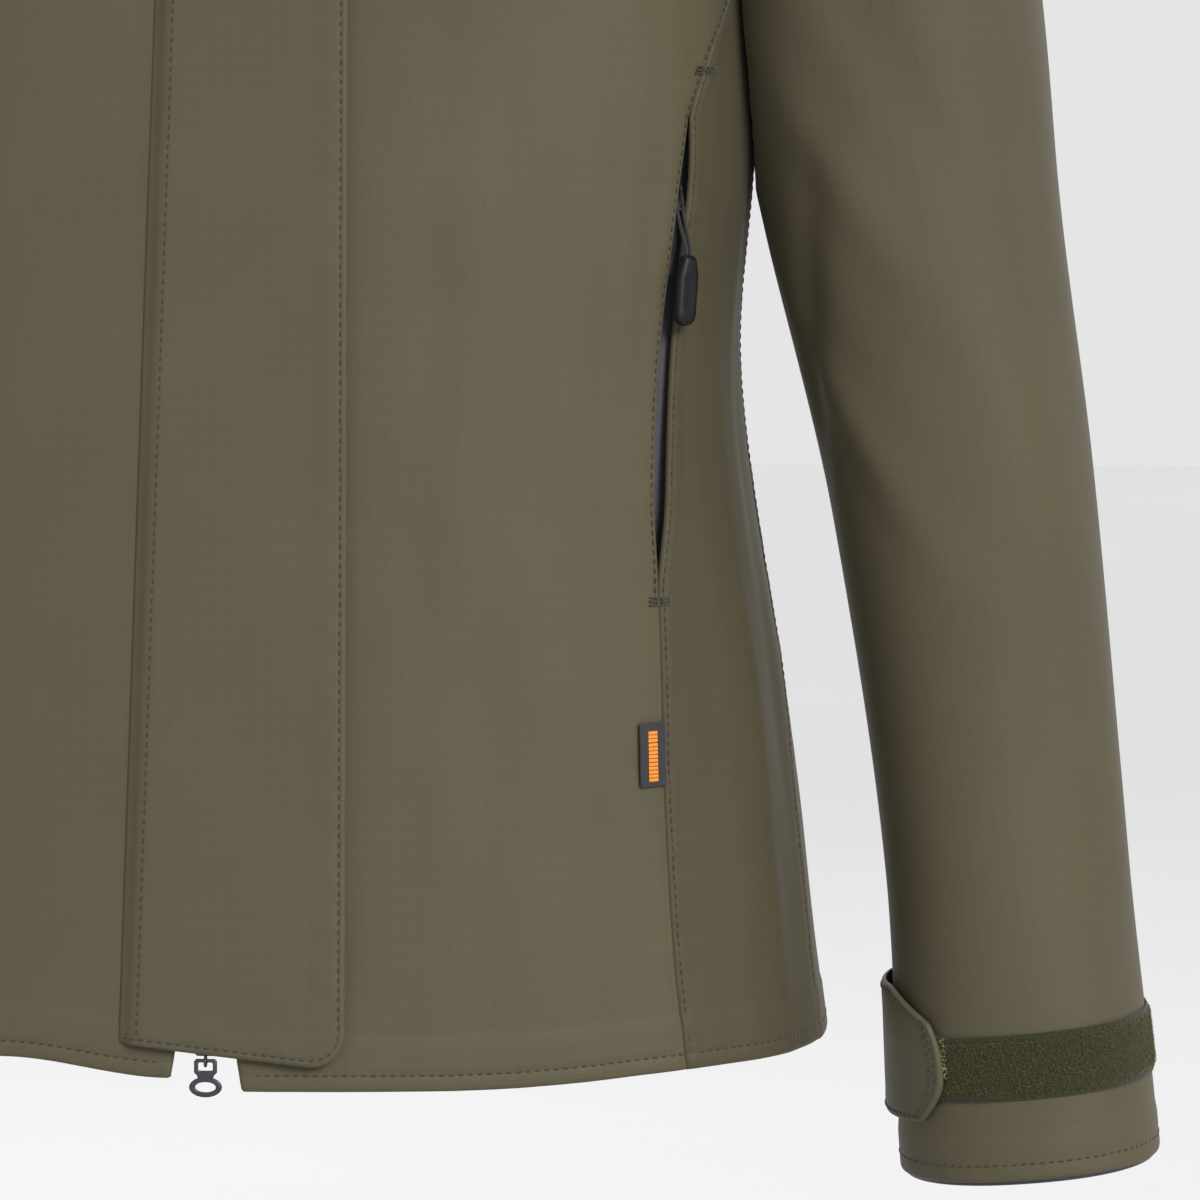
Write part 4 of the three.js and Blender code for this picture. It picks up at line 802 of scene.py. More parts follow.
def ripstop(name, colour):
    """Coated nylon ripstop: a matt plain weave with thicker yarns about every 5 mm, slightly
    uneven in colour from its water-repellent coating. The 0.3 mm weave is drawn 0.75 mm coarse."""
    material, tree, shader = new_material(name, 0.62, Sheen_Weight=0.05, Sheen_Roughness=0.5)
    shader.inputs["Specular IOR Level"].default_value = 0.24
    ramp = mottled(tree, shader, colour, mapped(tree, 14), 0.05)
    fine = mapped(tree, 1000)
    warp = threads(tree, fine, "X", BANDS_PER_UNIT / 0.75)
    weft = threads(tree, fine, "Y", BANDS_PER_UNIT / 0.75)
    grid_x = maths(tree, "POWER", threads(tree, fine, "X", BANDS_PER_UNIT / 5.2), 26.0)
    grid_y = maths(tree, "POWER", threads(tree, fine, "Y", BANDS_PER_UNIT / 5.2), 26.0)
    grid = maths(tree, "MAXIMUM", grid_x, grid_y)
    broken = add(tree, "ShaderNodeTexNoise", {"Vector": mapped(tree, 90), "Scale": 1.0, "Detail": 2.0})
    seen = maths(tree, "MULTIPLY", grid, broken.outputs[0])
    shaded(tree, shader, ramp, maths(tree, "MULTIPLY", seen, 0.32), 0.72)
    weave = maths(tree, "ADD", warp, weft)
    height = maths(tree, "MULTIPLY_ADD", grid, 1.4, weave)
    bumped(tree, shader, height, 0.2, 0.00009)
    return material


def taffeta(name, colour):
    """Woven polyester taffeta lining: fine, smooth and a little shiny."""
    material, tree, shader = new_material(name, 0.42, Sheen_Weight=0.1)
    fine = mapped(tree, 1000)
    mottled(tree, shader, colour, mapped(tree, 25), 0.1)
    warp, weft = (threads(tree, fine, way, BANDS_PER_UNIT / 0.8) for way in "XY")
    weave = maths(tree, "ADD", warp, weft)
    bumped(tree, shader, weave, 0.25, 0.00008)
    return material


def woven_tape(name, colour, rib=1.3):
    """Woven polyester zip tape: a dull herringbone with ribs along its length."""
    material, tree, shader = new_material(name, 0.8, Sheen_Weight=0.15)
    fine = mapped(tree, 1000, turn=0.6)
    ramp = mottled(tree, shader, colour, mapped(tree, 160), 0.12)
    ribs = threads(tree, fine, "X", BANDS_PER_UNIT / rib)
    shaded(tree, shader, ramp, maths(tree, "MULTIPLY", ribs, 0.35), 0.7)
    bumped(tree, shader, ribs, 0.5, 0.0001)
    return material


def pile(name, colour):
    """Nylon loop pile of a touch fastener: tangled soft fibres, lighter where they catch light."""
    material, tree, shader = new_material(name, 0.92, Sheen_Weight=0.12, Sheen_Roughness=0.6)
    shader.inputs["Specular IOR Level"].default_value = 0.2
    vector = mapped(tree, 900, "Object")
    mottled(tree, shader, colour, vector, 0.45, 6.0)
    noise = add(tree, "ShaderNodeTexNoise", {"Vector": vector, "Scale": 1.6, "Detail": 4.0})
    bumped(tree, shader, noise.outputs[0], 0.8, 0.0006)
    return material


def moulded(name, colour, roughness, grain=0.00004):
    """Injection-moulded plastic or rubber with a fine spark-eroded grain."""
    material, tree, shader = new_material(name, roughness)
    shader.inputs["Specular IOR Level"].default_value = 0.28
    vector = mapped(tree, 2600, "Object")
    mottled(tree, shader, colour, mapped(tree, 300, "Object"), 0.12)
    noise = add(tree, "ShaderNodeTexNoise", {"Vector": vector, "Scale": 1.0, "Detail": 3.0})
    bumped(tree, shader, noise.outputs[0], 0.35, grain)
    return material


def plated(name, colour, roughness):
    """Die-cast zinc with a dark plating: satin metal, rubbed a little brighter in places."""
    material, tree, shader = new_material(name, roughness, Metallic=0.92)
    vector = mapped(tree, 500, "Object")
    mottled(tree, shader, colour, vector, 0.22)
    worn = mapped(tree, 900, "Object")
    noise = add(tree, "ShaderNodeTexNoise", {"Vector": worn, "Scale": 1.0, "Detail": 5.0})
    rough = add(tree, "ShaderNodeMapRange", {0: noise.outputs[0], 3: roughness - 0.08, 4: roughness + 0.12})
    tree.links.new(rough.outputs[0], shader.inputs["Roughness"])
    bumped(tree, shader, noise.outputs[0], 0.12, 0.00003)
    return material


def spun_thread(name, colour):
    """Spun polyester sewing thread: matt, with a twist every 0.6 mm."""
    material, tree, shader = new_material(name, 0.7, Sheen_Weight=0.2)
    vector = mapped(tree, 1000, "Object", turn=0.8)
    ramp = mottled(tree, shader, colour, mapped(tree, 700, "Object"), 0.15)
    twist = threads(tree, vector, "DIAGONAL", BANDS_PER_UNIT / 0.6)
    shaded(tree, shader, ramp, maths(tree, "MULTIPLY", twist, 0.4), 0.75)
    bumped(tree, shader, twist, 0.3, 0.00008)
    return material


def plaster_floor(name, colour):
    """Painted studio floor: matt and very slightly uneven."""
    material, tree, shader = new_material(name, 0.9)
    mottled(tree, shader, colour, mapped(tree, 1.5, "Object"), 0.01)
    return material


MATERIALS = {}


def material(key):
    """One of the jacket's finishes, made from the colours of its settings the first time."""
    if key not in MATERIALS:
        colours = bpy.context.scene.jacket_colours
        recipe = {
            "shell": lambda: ripstop("ripstop_nylon_shell", colours.shell),
            # The side panels' ripstop is the shell's ripstop darkened with painted shade, standing for the
            # shade on the jacket's sides.
            "side": lambda: ripstop("ripstop_nylon_side_painted_shade", colours.side),
            "lining": lambda: taffeta("taffeta_lining", colours.lining),
            "coating": lambda: taffeta("coated_back_of_shell", colours.coating),
            "zip": lambda: woven_tape("woven_zip_tape", colours.zip_tape),
            "webbing": lambda: woven_tape("woven_selvedge_tape", colours.selvedge, 0.9),
            "pile": lambda: pile("nylon_loop_pile", colours.loop_tape),
            "fibre": lambda: pile("nylon_loop_fibre", colours.fibre),
            "hook": lambda: moulded("nylon_hook_tape", colours.hook, 0.6),
            "bristle": lambda: moulded("nylon_hooks", colours.bristle, 0.5),
            "teeth": lambda: moulded("acetal_zip_teeth", colours.moulded, 0.42),
            "grip": lambda: moulded("moulded_rubber_grip", colours.moulded, 0.5, 0.00007),
            "cord": lambda: woven_tape("braided_polyester_cord", colours.moulded, 0.7),
            "strap": lambda: woven_tape("woven_hanger_strap", colours.shell, 1.5),
            "metal": lambda: plated("gunmetal_plated_zinc", colours.metal, 0.36),
            "thread": lambda: spun_thread("spun_polyester_thread", colours.thread),
            "label": lambda: woven_tape("woven_label", colours.label, 0.7),
            "bars": lambda: spun_thread("embroidered_label_bars", colours.label_bars),
            "floor": lambda: plaster_floor("painted_studio_floor", colours.floor),
        }[key]
        MATERIALS[key] = recipe()
    return MATERIALS[key]


def cloth_materials(face="shell"):
    return [material(face), material("coating")]


def lining_cloth():
    return [material("lining")] * 2


# ------------------------------------------------------------------ what repeats: stitches, teeth, fibres


def tree_with(name, inputs):
    """A Geometry Nodes tree with named inputs; returns it, its input node and its output node."""
    tree = bpy.data.node_groups.new(name, "GeometryNodeTree")
    tree.interface.new_socket("Geometry", in_out="INPUT", socket_type="NodeSocketGeometry")
    for label, kind, value in inputs:
        socket = tree.interface.new_socket(label, in_out="INPUT", socket_type=kind)
        if value is not None:
            socket.default_value = value
    tree.interface.new_socket("Geometry", in_out="OUTPUT", socket_type="NodeSocketGeometry")
    return tree, tree.nodes.new("NodeGroupInput"), tree.nodes.new("NodeGroupOutput")


def finish_tree(tree, given, output, geometry):
    """Ends a tree in real, smooth geometry with its material."""
    realised = add(tree, "GeometryNodeRealizeInstances", {0: geometry})
    smoothed = add(tree, "GeometryNodeSetShadeSmooth", {0: realised.outputs[0]})
    inputs = {0: smoothed.outputs[0], "Material": given.outputs["Material"]}
    painted = add(tree, "GeometryNodeSetMaterial", inputs)
    tree.links.new(painted.outputs[0], output.inputs[0])
    return tree


def along_rails(tree, given):
    """Points a pitch apart on the rails, and the turn that lays an instance's x along them."""
    rails = add(tree, "GeometryNodeMeshToCurve", {0: given.outputs["Geometry"]})
    inputs = {0: rails.outputs[0], "Length": given.outputs["Pitch"]}
    spaced = add(tree, "GeometryNodeResampleCurve", inputs, mode="LENGTH")
    tangent = tree.nodes.new("GeometryNodeInputTangent")
    up = add(tree, "GeometryNodeInputNamedAttribute", {"Name": "up"}, data_type="FLOAT_VECTOR")
    turn = add(
        tree, "FunctionNodeAxesToRotation", {0: tangent.outputs[0], 1: up.outputs[0]},
        primary_axis="X", secondary_axis="Z",
    )
    return spaced.outputs[0], turn.outputs[0]


def stitch_tree():
    """Short threads, dipping into the cloth at both ends, one to each pitch of the rails."""
    tree, given, output = tree_with("stitches", [
        ("Pitch", "NodeSocketFloat", 0.0035), ("Length", "NodeSocketFloat", 0.0028),
        ("Radius", "NodeSocketFloat", 0.0003), ("Material", "NodeSocketMaterial", None),
    ])
    points, turn = along_rails(tree, given)
    ball = add(tree, "GeometryNodeMeshUVSphere", {"Segments": 6, "Rings": 4, "Radius": 1.0})
    half = maths(tree, "MULTIPLY", given.outputs["Length"], 0.5)
    radius = given.outputs["Radius"]
    size = add(tree, "ShaderNodeCombineXYZ", {0: half, 1: radius, 2: radius})
    placed = add(tree, "GeometryNodeInstanceOnPoints", {
        "Points": points, "Instance": ball.outputs[0], "Rotation": turn, "Scale": size.outputs[0],
    })
    return finish_tree(tree, given, output, placed.outputs[0])


def tooth_tree():
    """Moulded zip teeth: a clamp on the tape and a head towards the other chain."""
    tree, given, output = tree_with("zip_teeth", [
        ("Pitch", "NodeSocketFloat", 0.0027), ("Clamp", "NodeSocketVector", (0.0013, 0.0014, 0.0025)),
        ("Head", "NodeSocketVector", (0.0016, 0.0012, 0.0018)), ("Reach", "NodeSocketFloat", 0.0011),
        ("Material", "NodeSocketMaterial", None),
    ])
    points, turn = along_rails(tree, given)
    clamp = add(tree, "GeometryNodeMeshCube", {"Size": given.outputs["Clamp"]})
    head = add(tree, "GeometryNodeMeshCube", {"Size": given.outputs["Head"]})
    reach = add(tree, "ShaderNodeCombineXYZ", {1: given.outputs["Reach"]})
    moved = add(tree, "GeometryNodeTransform", {0: head.outputs[0], "Translation": reach.outputs[0]})
    both = tree.nodes.new("GeometryNodeJoinGeometry")
    for part in (clamp, moved):
        tree.links.new(part.outputs[0], both.inputs[0])
    placed = add(tree, "GeometryNodeInstanceOnPoints", {
        "Points": points, "Instance": both.outputs[0], "Rotation": turn,
    })
    return finish_tree(tree, given, output, placed.outputs[0])


def fibre_tree():
    """Short curved fibres scattered over a surface, each leaning its own way."""
    tree, given, output = tree_with("fibres", [
        ("Density", "NodeSocketFloat", 900000.0), ("Length", "NodeSocketFloat", 0.0014),
        ("Radius", "NodeSocketFloat", 0.00009), ("Lean", "NodeSocketFloat", 1.1),
        ("Seed", "NodeSocketInt", 7), ("Material", "NodeSocketMaterial", None),
    ])
    scattered = add(tree, "GeometryNodeDistributePointsOnFaces", {
        0: given.outputs["Geometry"], "Density": given.outputs["Density"], "Seed": given.outputs["Seed"],
    })
    ball = add(tree, "GeometryNodeMeshUVSphere", {"Segments": 4, "Rings": 4, "Radius": 1.0})
    size = add(tree, "ShaderNodeCombineXYZ", {
        0: given.outputs["Radius"], 1: given.outputs["Radius"],
        2: maths(tree, "MULTIPLY", given.outputs["Length"], 0.5),
    })
    lean = given.outputs["Lean"]
    back = maths(tree, "MULTIPLY", lean, -1.0)
    least = add(tree, "ShaderNodeCombineXYZ", {0: back, 1: back, 2: -3.1})
    most = add(tree, "ShaderNodeCombineXYZ", {0: lean, 1: lean, 2: 3.1})
    random = add(tree, "FunctionNodeRandomValue", {
        0: least.outputs[0], 1: most.outputs[0], "Seed": given.outputs["Seed"],
    }, data_type="FLOAT_VECTOR")
    tilt = add(tree, "FunctionNodeEulerToRotation", {0: random.outputs[0]})
    turned = add(tree, "FunctionNodeRotateRotation", {
        0: scattered.outputs["Rotation"], 1: tilt.outputs[0]}, rotation_space="LOCAL")
    placed = add(tree, "GeometryNodeInstanceOnPoints", {
        "Points": scattered.outputs[0], "Instance": ball.outputs[0], "Rotation": turned.outputs[0],
        "Scale": size.outputs[0],
    })
    return finish_tree(tree, given, output, placed.outputs[0])


TREES = {}


def grown(obj, kind, **values):
    """Runs one of the trees on an object and turns the result into plain mesh."""
    maker = {"stitches": stitch_tree, "teeth": tooth_tree, "fibres": fibre_tree}[kind]
    if kind not in TREES:
        TREES[kind] = maker()
    modifier = obj.modifiers.new(kind, "NODES")
    modifier.node_group = TREES[kind]
    for item in TREES[kind].interface.items_tree:
        key = item.name.lower()
        if item.in_out == "INPUT" and key in values:
            modifier[item.identifier] = values[key]
    evaluated(obj)
    if not len(obj.data.polygons):
        raise RuntimeError(f"{obj.name}: nothing grew")
    return obj


def rails(name, lines):
    """A mesh of edges along lines of (points, ups); ups say which way is out of the cloth."""
    points = np.concatenate([np.asarray(line, float) for line, _ in lines])
    ups = np.concatenate([np.broadcast_to(up, np.shape(line)) for line, up in lines])
    edges, start = [], 0
    for line, _ in lines:
        edges += [(start + i, start + i + 1) for i in range(len(line) - 1)]
        start += len(line)
    mesh = bpy.data.meshes.new(name)
    mesh.from_pydata(world(points).tolist(), edges, [])
    attribute = mesh.attributes.new("up", "FLOAT_VECTOR", "POINT")
    attribute.data.foreach_set("vector", np.asarray(ups, np.float32).ravel())
    return linked(name, mesh)


def sew(name, lines, body, blend=None, pitch=None, length=None, radius=None):
    """Rows of topstitching along lines of (points, ups), on one body."""
    sizes = bpy.context.scene.jacket_sizes
    thread = material("thread")
    obj = grown(
        rails(name, lines), "stitches", pitch=pitch / 1000 if pitch else sizes.stitch_pitch,
        length=length / 1000 if length else sizes.stitch_length,
        radius=radius / 1000 if radius else sizes.thread_radius,
        material=thread,
    )
    return finish_piece(obj, thread, body, blend=blend)


def bartack(centre, along, across, up, width=5.0, length=2.6, rows=9):
    """Lines for a bartack: close threads laid across the end of a seam."""
    centre, along, across = (np.asarray(vector) for vector in (centre, along, across))
    lines = []
    for share in np.linspace(-0.5, 0.5, rows):
        middle = centre + along * share * length
        skew = along * 0.25 * (1 if int(share * 20) % 2 else -1)
        ends = [middle - across * width / 2 - skew, middle + across * width / 2 + skew]
        lines.append((np.array(ends), up))
    return lines


# ------------------------------------------------------------------ body panels


def panel_grid(rows, low, high, side, pitch=3.0, ends=(True, True)):
    """Angles, heights and distances from both edges for a panel between two seam lines."""
    rows = np.asarray(rows, float)
    fine = np.linspace(0, 1, 241)[None, :]
    angles = lerp(low(rows)[:, None], high(rows)[:, None], fine)
    heights = lifted(angles, rows[:, None], side)
    points = body_point(angles, heights)
    length = np.linalg.norm(np.diff(points, axis=1), axis=-1)
    travelled = np.concatenate([np.zeros((len(rows), 1)), np.cumsum(length, axis=1)], axis=1)
    template = graded(float(np.median(travelled[:, -1])), pitch=pitch, ends=ends)
    found, near, far = [], [], []
    for i in range(len(rows)):
        total = travelled[i, -1]
        first, last = template[:8] if ends[0] else template[:1], template[-8:] if ends[1] else template[-1:]
        middle = template[len(first) : len(template) - len(last)]
        span_old = (first[-1], last[0])
        edge_low = first * min(1, total / (3 * max(first[-1], 1)))
        edge_high = total - (template[-1] - last) * min(1, total / (3 * max(template[-1] - last[0], 1)))
        spread = (middle - span_old[0]) / (span_old[1] - span_old[0])
        inside = edge_low[-1] + spread * (edge_high[0] - edge_low[-1])
        distance = np.concatenate([edge_low, inside, edge_high])
        found.append(np.interp(distance, travelled[i], angles[i]))
        near.append(distance)
        far.append(total - distance)
    found = np.array(found)
    return found, lifted(found, rows[:, None], side), np.array(near), np.array(far)


def welt(distance, rise, width, row=None):
    """Height of a folded seam edge: rolled at the edge, raised over its allowance, pressed by a row
    of stitches."""
    form = -0.55 * np.exp(-distance / 0.55) + rise * (1 - smooth(distance, width, width + 2.5))
    if row:
        form = form - 0.22 * np.exp(-(((distance - row) / 0.75) ** 2))
    return form


def pucker(distance, along, reach=9.0, height=0.22):
    """Small ripples that stitching draws into cloth near a seam."""
    wave = np.sin(along / 2.1) * 0.6 + np.sin(along / 3.4 + 1.7) * 0.6
    return height * wave * np.exp(-distance / reach) * smooth(distance, 0, 2)


def hem_form(above):
    """The turned-up hem: a rolled edge, two layers high and a row of stitches."""
    return (
        -0.5 * np.exp(-above / 0.6) + 0.45 * (1 - smooth(above, 17, 21))
        - 0.25 * np.exp(-(((above - 5.4) / 0.8) ** 2)) - 0.12 * np.exp(-(((above - 19) / 1.5) ** 2))
    )


HEM_ROWS = np.array([0, 0.5, 1.1, 1.8, 3, 4.4, 5.0, 5.4, 5.8, 6.6, 8.5, 11, 14, 17, 18.5, 20, 22])


def body_rows(low=0.0, high=None, pitch=3.2, hem=True):
    """Heights of a panel's rows, closer together at the hem and at the top seam."""
    top = high - np.array([6, 4, 2.9, 2.2, 1.6, 1, 0.45, 0])
    start = HEM_ROWS if hem else low + np.array([0, 0.45, 1, 1.6, 2.2, 2.9, 4, 6])
    count = int(round((top[0] - start[-1]) / pitch))
    return np.concatenate([start[:-1], np.linspace(start[-1], top[0], count + 1), top[1:]])


def make_panel(name, rows, low, high, side, form, back=None, face="shell", cutters=()):
    """A panel of the body as one closed sheet, standing for the node of its name.
    form gives its height above the bare surface; back is how far in its inner face lies."""
    sizes = bpy.context.scene.jacket_sizes
    degrees, heights, near, far = panel_grid(rows, low, high, side)
    above = np.broadcast_to(np.asarray(rows, float)[:, None], degrees.shape)
    off = form(degrees, heights, near, far, above)
    thickness = sizes.cloth_thickness * 1000 if back is None else back
    outer = body_cloth(degrees, heights, off, side)
    inner = body_cloth(degrees, heights, off - thickness, side)
    middle = near.shape[1] // 2
    uv = np.stack([near - near[:, middle : middle + 1], above], -1)
    outer, inner, uv = handed(side, outer, inner, uv)
    obj = cloth_sheet(name, outer, inner, uv)
    if cutters:
        cut(obj, *cutters)
    materials = lining_cloth() if face == "lining" else cloth_materials(face)
    finish_piece(obj, materials, "jacket", name)
    declare_cloth(outer)


CUTTERS = {}


def armhole_cutter(side, off=0.3):
    """The sleeve's inside as a solid, to cut the armhole out of the body's panels."""
    key = ("armhole", side, off)
    if key not in CUTTERS:
        drops = np.concatenate([[ARMHOLE_DEPTH - 104.9], np.linspace(ARMHOLE_DEPTH - 100, FOREARM_FROM, 56)])
        angles = np.linspace(0, -360, 96, endpoint=False)
        rings = sleeve_cloth(angles[None, :], drops[:, None], off, side)
        if side > 0:
            rings = rings[::-1]
        obj = solid_loft(f"armhole_{side}_{off}", rings[:, ::-1])
        tidy_shell(obj)
        obj.hide_render = True
        CUTTERS[key] = obj
    return CUTTERS[key]


def body_cutter(off=-1.1):
    """The whole body as a solid, to end the sleeves at its surface."""
    key = ("body", off)
    if key not in CUTTERS:
        rows = np.linspace(UNDERARM - 120, NECK, 90)
        angles = np.linspace(0, 360, 220, endpoint=False)
        left = (angles <= 90) | (angles >= 270)
        mirrored = np.where(left, (angles + 180) % 360 - 180, 180 - angles)
        right = body_cloth(mirrored[None, :], rows[:, None], off, -1)
        whole = np.where(left[None, :, None], body_cloth(mirrored[None, :], rows[:, None], off, 1), right)
        obj = solid_loft(f"body_{off}", whole)
        tidy_shell(obj)
        obj.hide_render = True
        CUTTERS[key] = obj
    return CUTTERS[key]


def drop_cutters():
    for obj in CUTTERS.values():
        bpy.data.objects.remove(obj)
    CUTTERS.clear()


SLIT_HALF = 3.4  # half of the pocket's open slit
SLIT_BOW = 1.6  # how much further the front lip draws back below its middle


def slit_half_angle(h, lip):
    """Half of the slit's opening in degrees, for the front lip (-1) or the side lip (1)."""
    bow = SLIT_BOW * np.exp(-(((h - 255) / 45) ** 2)) if lip < 0 else 0.0
    return (SLIT_HALF + bow) * slit_open(h) * angle_per_mm(h)


def front_low(h):
    return angle_at(front_edge_x(h), h)


def front_high(h):
    below = slit_angle(h) - slit_half_angle(h, -1) - 0.1 * angle_per_mm(h)
    return np.where(on_shoulder(h), -0.1 * angle_per_mm(h), below)


def side_low(h):
    return slit_angle(h) + slit_half_angle(h, 1) + 0.1 * angle_per_mm(h)


def side_high(h):
    return side_seam(h) - 0.1 * angle_per_mm(h)


def back_low(h):
    start = np.where(on_shoulder(h), 0.0, side_seam(h))
    return start + 0.1 * angle_per_mm(h)


def front_form(degrees, h, near, far, above):
    lip = slit_open(h)
    edge = welt(near, 0.3, 12) + welt(far, 0.35 * lip, 7, 1.7)
    return edge + hem_form(above) + pucker(far, above) + pucker(above, near, 7, 0.16)


def side_form(degrees, h, near, far, above):
    edge = welt(near, 0.5, 3.4, 2.0) + welt(far, 0.0, 3)
    return edge + hem_form(above) + pucker(near, above) + pucker(far, above, 8, 0.16)


def back_form(degrees, h, near, far, above):
    top = YOKE_SEAM - above
    edge = welt(near, 0.35, 5, 2.0) + welt(far, 0.35, 5, 2.0) + hem_form(above) + welt(top, 0, 3)
    return edge + pucker(near, above) + pucker(far, above) + pucker(top, near, 8, 0.18)


def back_high(h):
    """The back's far edge, which mirrors its near one."""
    return 180 - back_low(h)


def yoke_form(degrees, h, near, far, above):
    foot = above - YOKE_SEAM
    edge = welt(foot, 0.5, 5, 2.0) + welt(near, 0.4, 5, 2.0) + welt(far, 0.4, 5, 2.0)
    return edge + pucker(foot, near, 8, 0.18)


def body_line(degrees, h, off, side=1):
    """A line on the hung cloth with its outward directions."""
    points = body_cloth(degrees, h, off, side)
    return points, body_normal(degrees, h) * (side, 1, 1)


def seam_row(angle, rows, mm, off, side=1):
    """A row of stitches so many millimetres round from a seam line, up through its rows."""
    rows = np.asarray(rows, float)
    degrees = angle(rows) + mm * angle_per_mm(rows)
    return body_line(degrees, lifted(degrees, rows, side), off, side)


# ------------------------------------------------------------------ settings


def length_property(name, millimetres, description):
    return FloatProperty(
        name=name, description=description, default=millimetres / 1000, min=0.0, unit="LENGTH", precision=5
    )


class JacketSizes(bpy.types.PropertyGroup):
    cloth_thickness: length_property("Cloth thickness", 1.4, "Shell cloth with its backing")
    lining_thickness: length_property("Lining thickness", 0.9, "Lining cloth")
    stitch_pitch: length_property("Stitch pitch", 3.5, "From one stitch to the next")
    stitch_length: length_property("Stitch length", 2.7, "Thread that shows in each stitch")
    thread_radius: length_property("Thread radius", 0.4, "Half the sewing thread's thickness")
    tooth_pitch: length_property("Tooth pitch", 2.7, "From one zip tooth to the next")
    fibre_length: length_property("Fibre length", 2.2, "Loop fibres of the cuff tape")
    fibre_density: FloatProperty(
        name="Fibre density", description="Loop fibres to the square metre", default=2.4e6
    )
    fibre_seed: IntProperty(name="Fibre seed", description="Which scatter of fibres is grown", default=7)


def colour_property(name, default, description):
    """A colour whose default is an sRGB hex value."""
    return FloatVectorProperty(
        name=name, description=description, default=linear(default), size=4, min=0.0, max=1.0, subtype="COLOR"
    )


class JacketColours(bpy.types.PropertyGroup):
    shell: colour_property("Shell", "#484230", "Face of the shell cloth")
    # Side panel colour: the shell colour darkened with painted shade for the shaded sides of the body.
    side: colour_property("Side panels", "#403a29", "Face of the side panels' cloth, darkened with painted shade")
    lining: colour_property("Lining", "#23262e", "Body and sleeve lining")
    coating: colour_property("Coating", "#4b4a40", "Coated back of the shell cloth")
    zip_tape: colour_property("Zip tape", "#3c3c40", "Woven zip tape and pocket zip")
    loop_tape: colour_property("Loop tape", "#26260e", "Loop pile of the touch fastener")
    fibre: colour_property("Fibres", "#47461a", "Loop fibres that catch the light")
    selvedge: colour_property("Selvedge", "#555a35", "Flat edges of the loop tape")
    hook: colour_property("Hook tape", "#4a4a30", "Hook side of the touch fastener")
    bristle: colour_property("Hooks", "#8a8a5c", "The hooks themselves")
    moulded: colour_property("Moulded parts", "#0e0d10", "Grips, cords and zip teeth")
    metal: colour_property("Metal", "#4a464e", "Zip sliders and pulls")
    thread: colour_property("Thread", "#1d1a07", "Topstitching")
    label: colour_property("Label", "#1f1d20", "Woven seam label")
    label_bars: colour_property("Label bars", "#e8861c", "Plain bars woven into the label")
    floor: colour_property("Floor", "#c5c5c5", "Studio floor")


# ------------------------------------------------------------------ operators


# The camera's distance and height, and the point that it looks at, in jacket millimetres.
CAMERA_AWAY, CAMERA_HEIGHT, CAMERA_TURN, CAMERA_LENS = 2450, 430, math.radians(7), 193.6
CAMERA_AIM = (139.5, -60, 173.5)
FLOOR_LEVEL, FLOOR_HALF = -560, 9000


class JACKET_OT_stage(bpy.types.Operator):
    """Makes the camera, the soft studio light and the pale floor"""

    bl_idname = "jacket.stage"
    bl_label = "Studio"

    def execute(self, context):
        turn = CAMERA_TURN
        place = np.array([CAMERA_AWAY * math.sin(turn), -CAMERA_AWAY * math.cos(turn), CAMERA_HEIGHT])
        target = np.array(CAMERA_AIM)
        camera = bpy.data.cameras.new("camera")
        camera.lens, camera.sensor_width = CAMERA_LENS, 36
        camera.clip_start, camera.clip_end = 0.1, 60
        holder = linked("camera", camera)
        holder.location = Vector(world(place))
        holder.rotation_mode = "QUATERNION"
        holder.rotation_quaternion = (Vector(world(target)) - holder.location).to_track_quat("-Z", "Y")
        context.scene.camera = holder
        context.scene.view_settings.view_transform = "Standard"
        self.light("key", "SUN", (2.0, -2.9, 1.6), 3.4)
        self.light("fill", "AREA", (-2.6, -2.4, 0.1), 5)
        self.light("back", "AREA", (-0.8, 2.8, 1.4), 34)
        sky = bpy.data.worlds.new("studio")
        sky.use_nodes = True
        backdrop = sky.node_tree.nodes["Background"]
        backdrop.inputs["Color"].default_value = linear("#e5e5e5")
        backdrop.inputs["Strength"].default_value = 1.0
        context.scene.world = sky
        corners = np.array([(-1, -1, 0), (1, -1, 0), (1, 1, 0), (-1, 1, 0)])
        floor = make_mesh("floor", corners * (FLOOR_HALF, FLOOR_HALF, 1) + (0, 0, FLOOR_LEVEL), [(0, 1, 2, 3)])
        floor.data.materials.append(material("floor"))
        return {"FINISHED"}

    def light(self, name, kind, place, power):
        """A softbox, or a broad distant light, turned towards the jacket."""
        lamp = bpy.data.lights.new(name, kind)
        lamp.energy = power
        if kind == "SUN":
            lamp.angle = math.radians(24)
        else:
            lamp.shape, lamp.size = "DISK", 2.4
        holder = linked(name, lamp)
        holder.location = place
        holder.rotation_mode = "QUATERNION"
        holder.rotation_quaternion = (Vector((0, 0, -0.4)) - Vector(place)).to_track_quat("-Z", "Y")


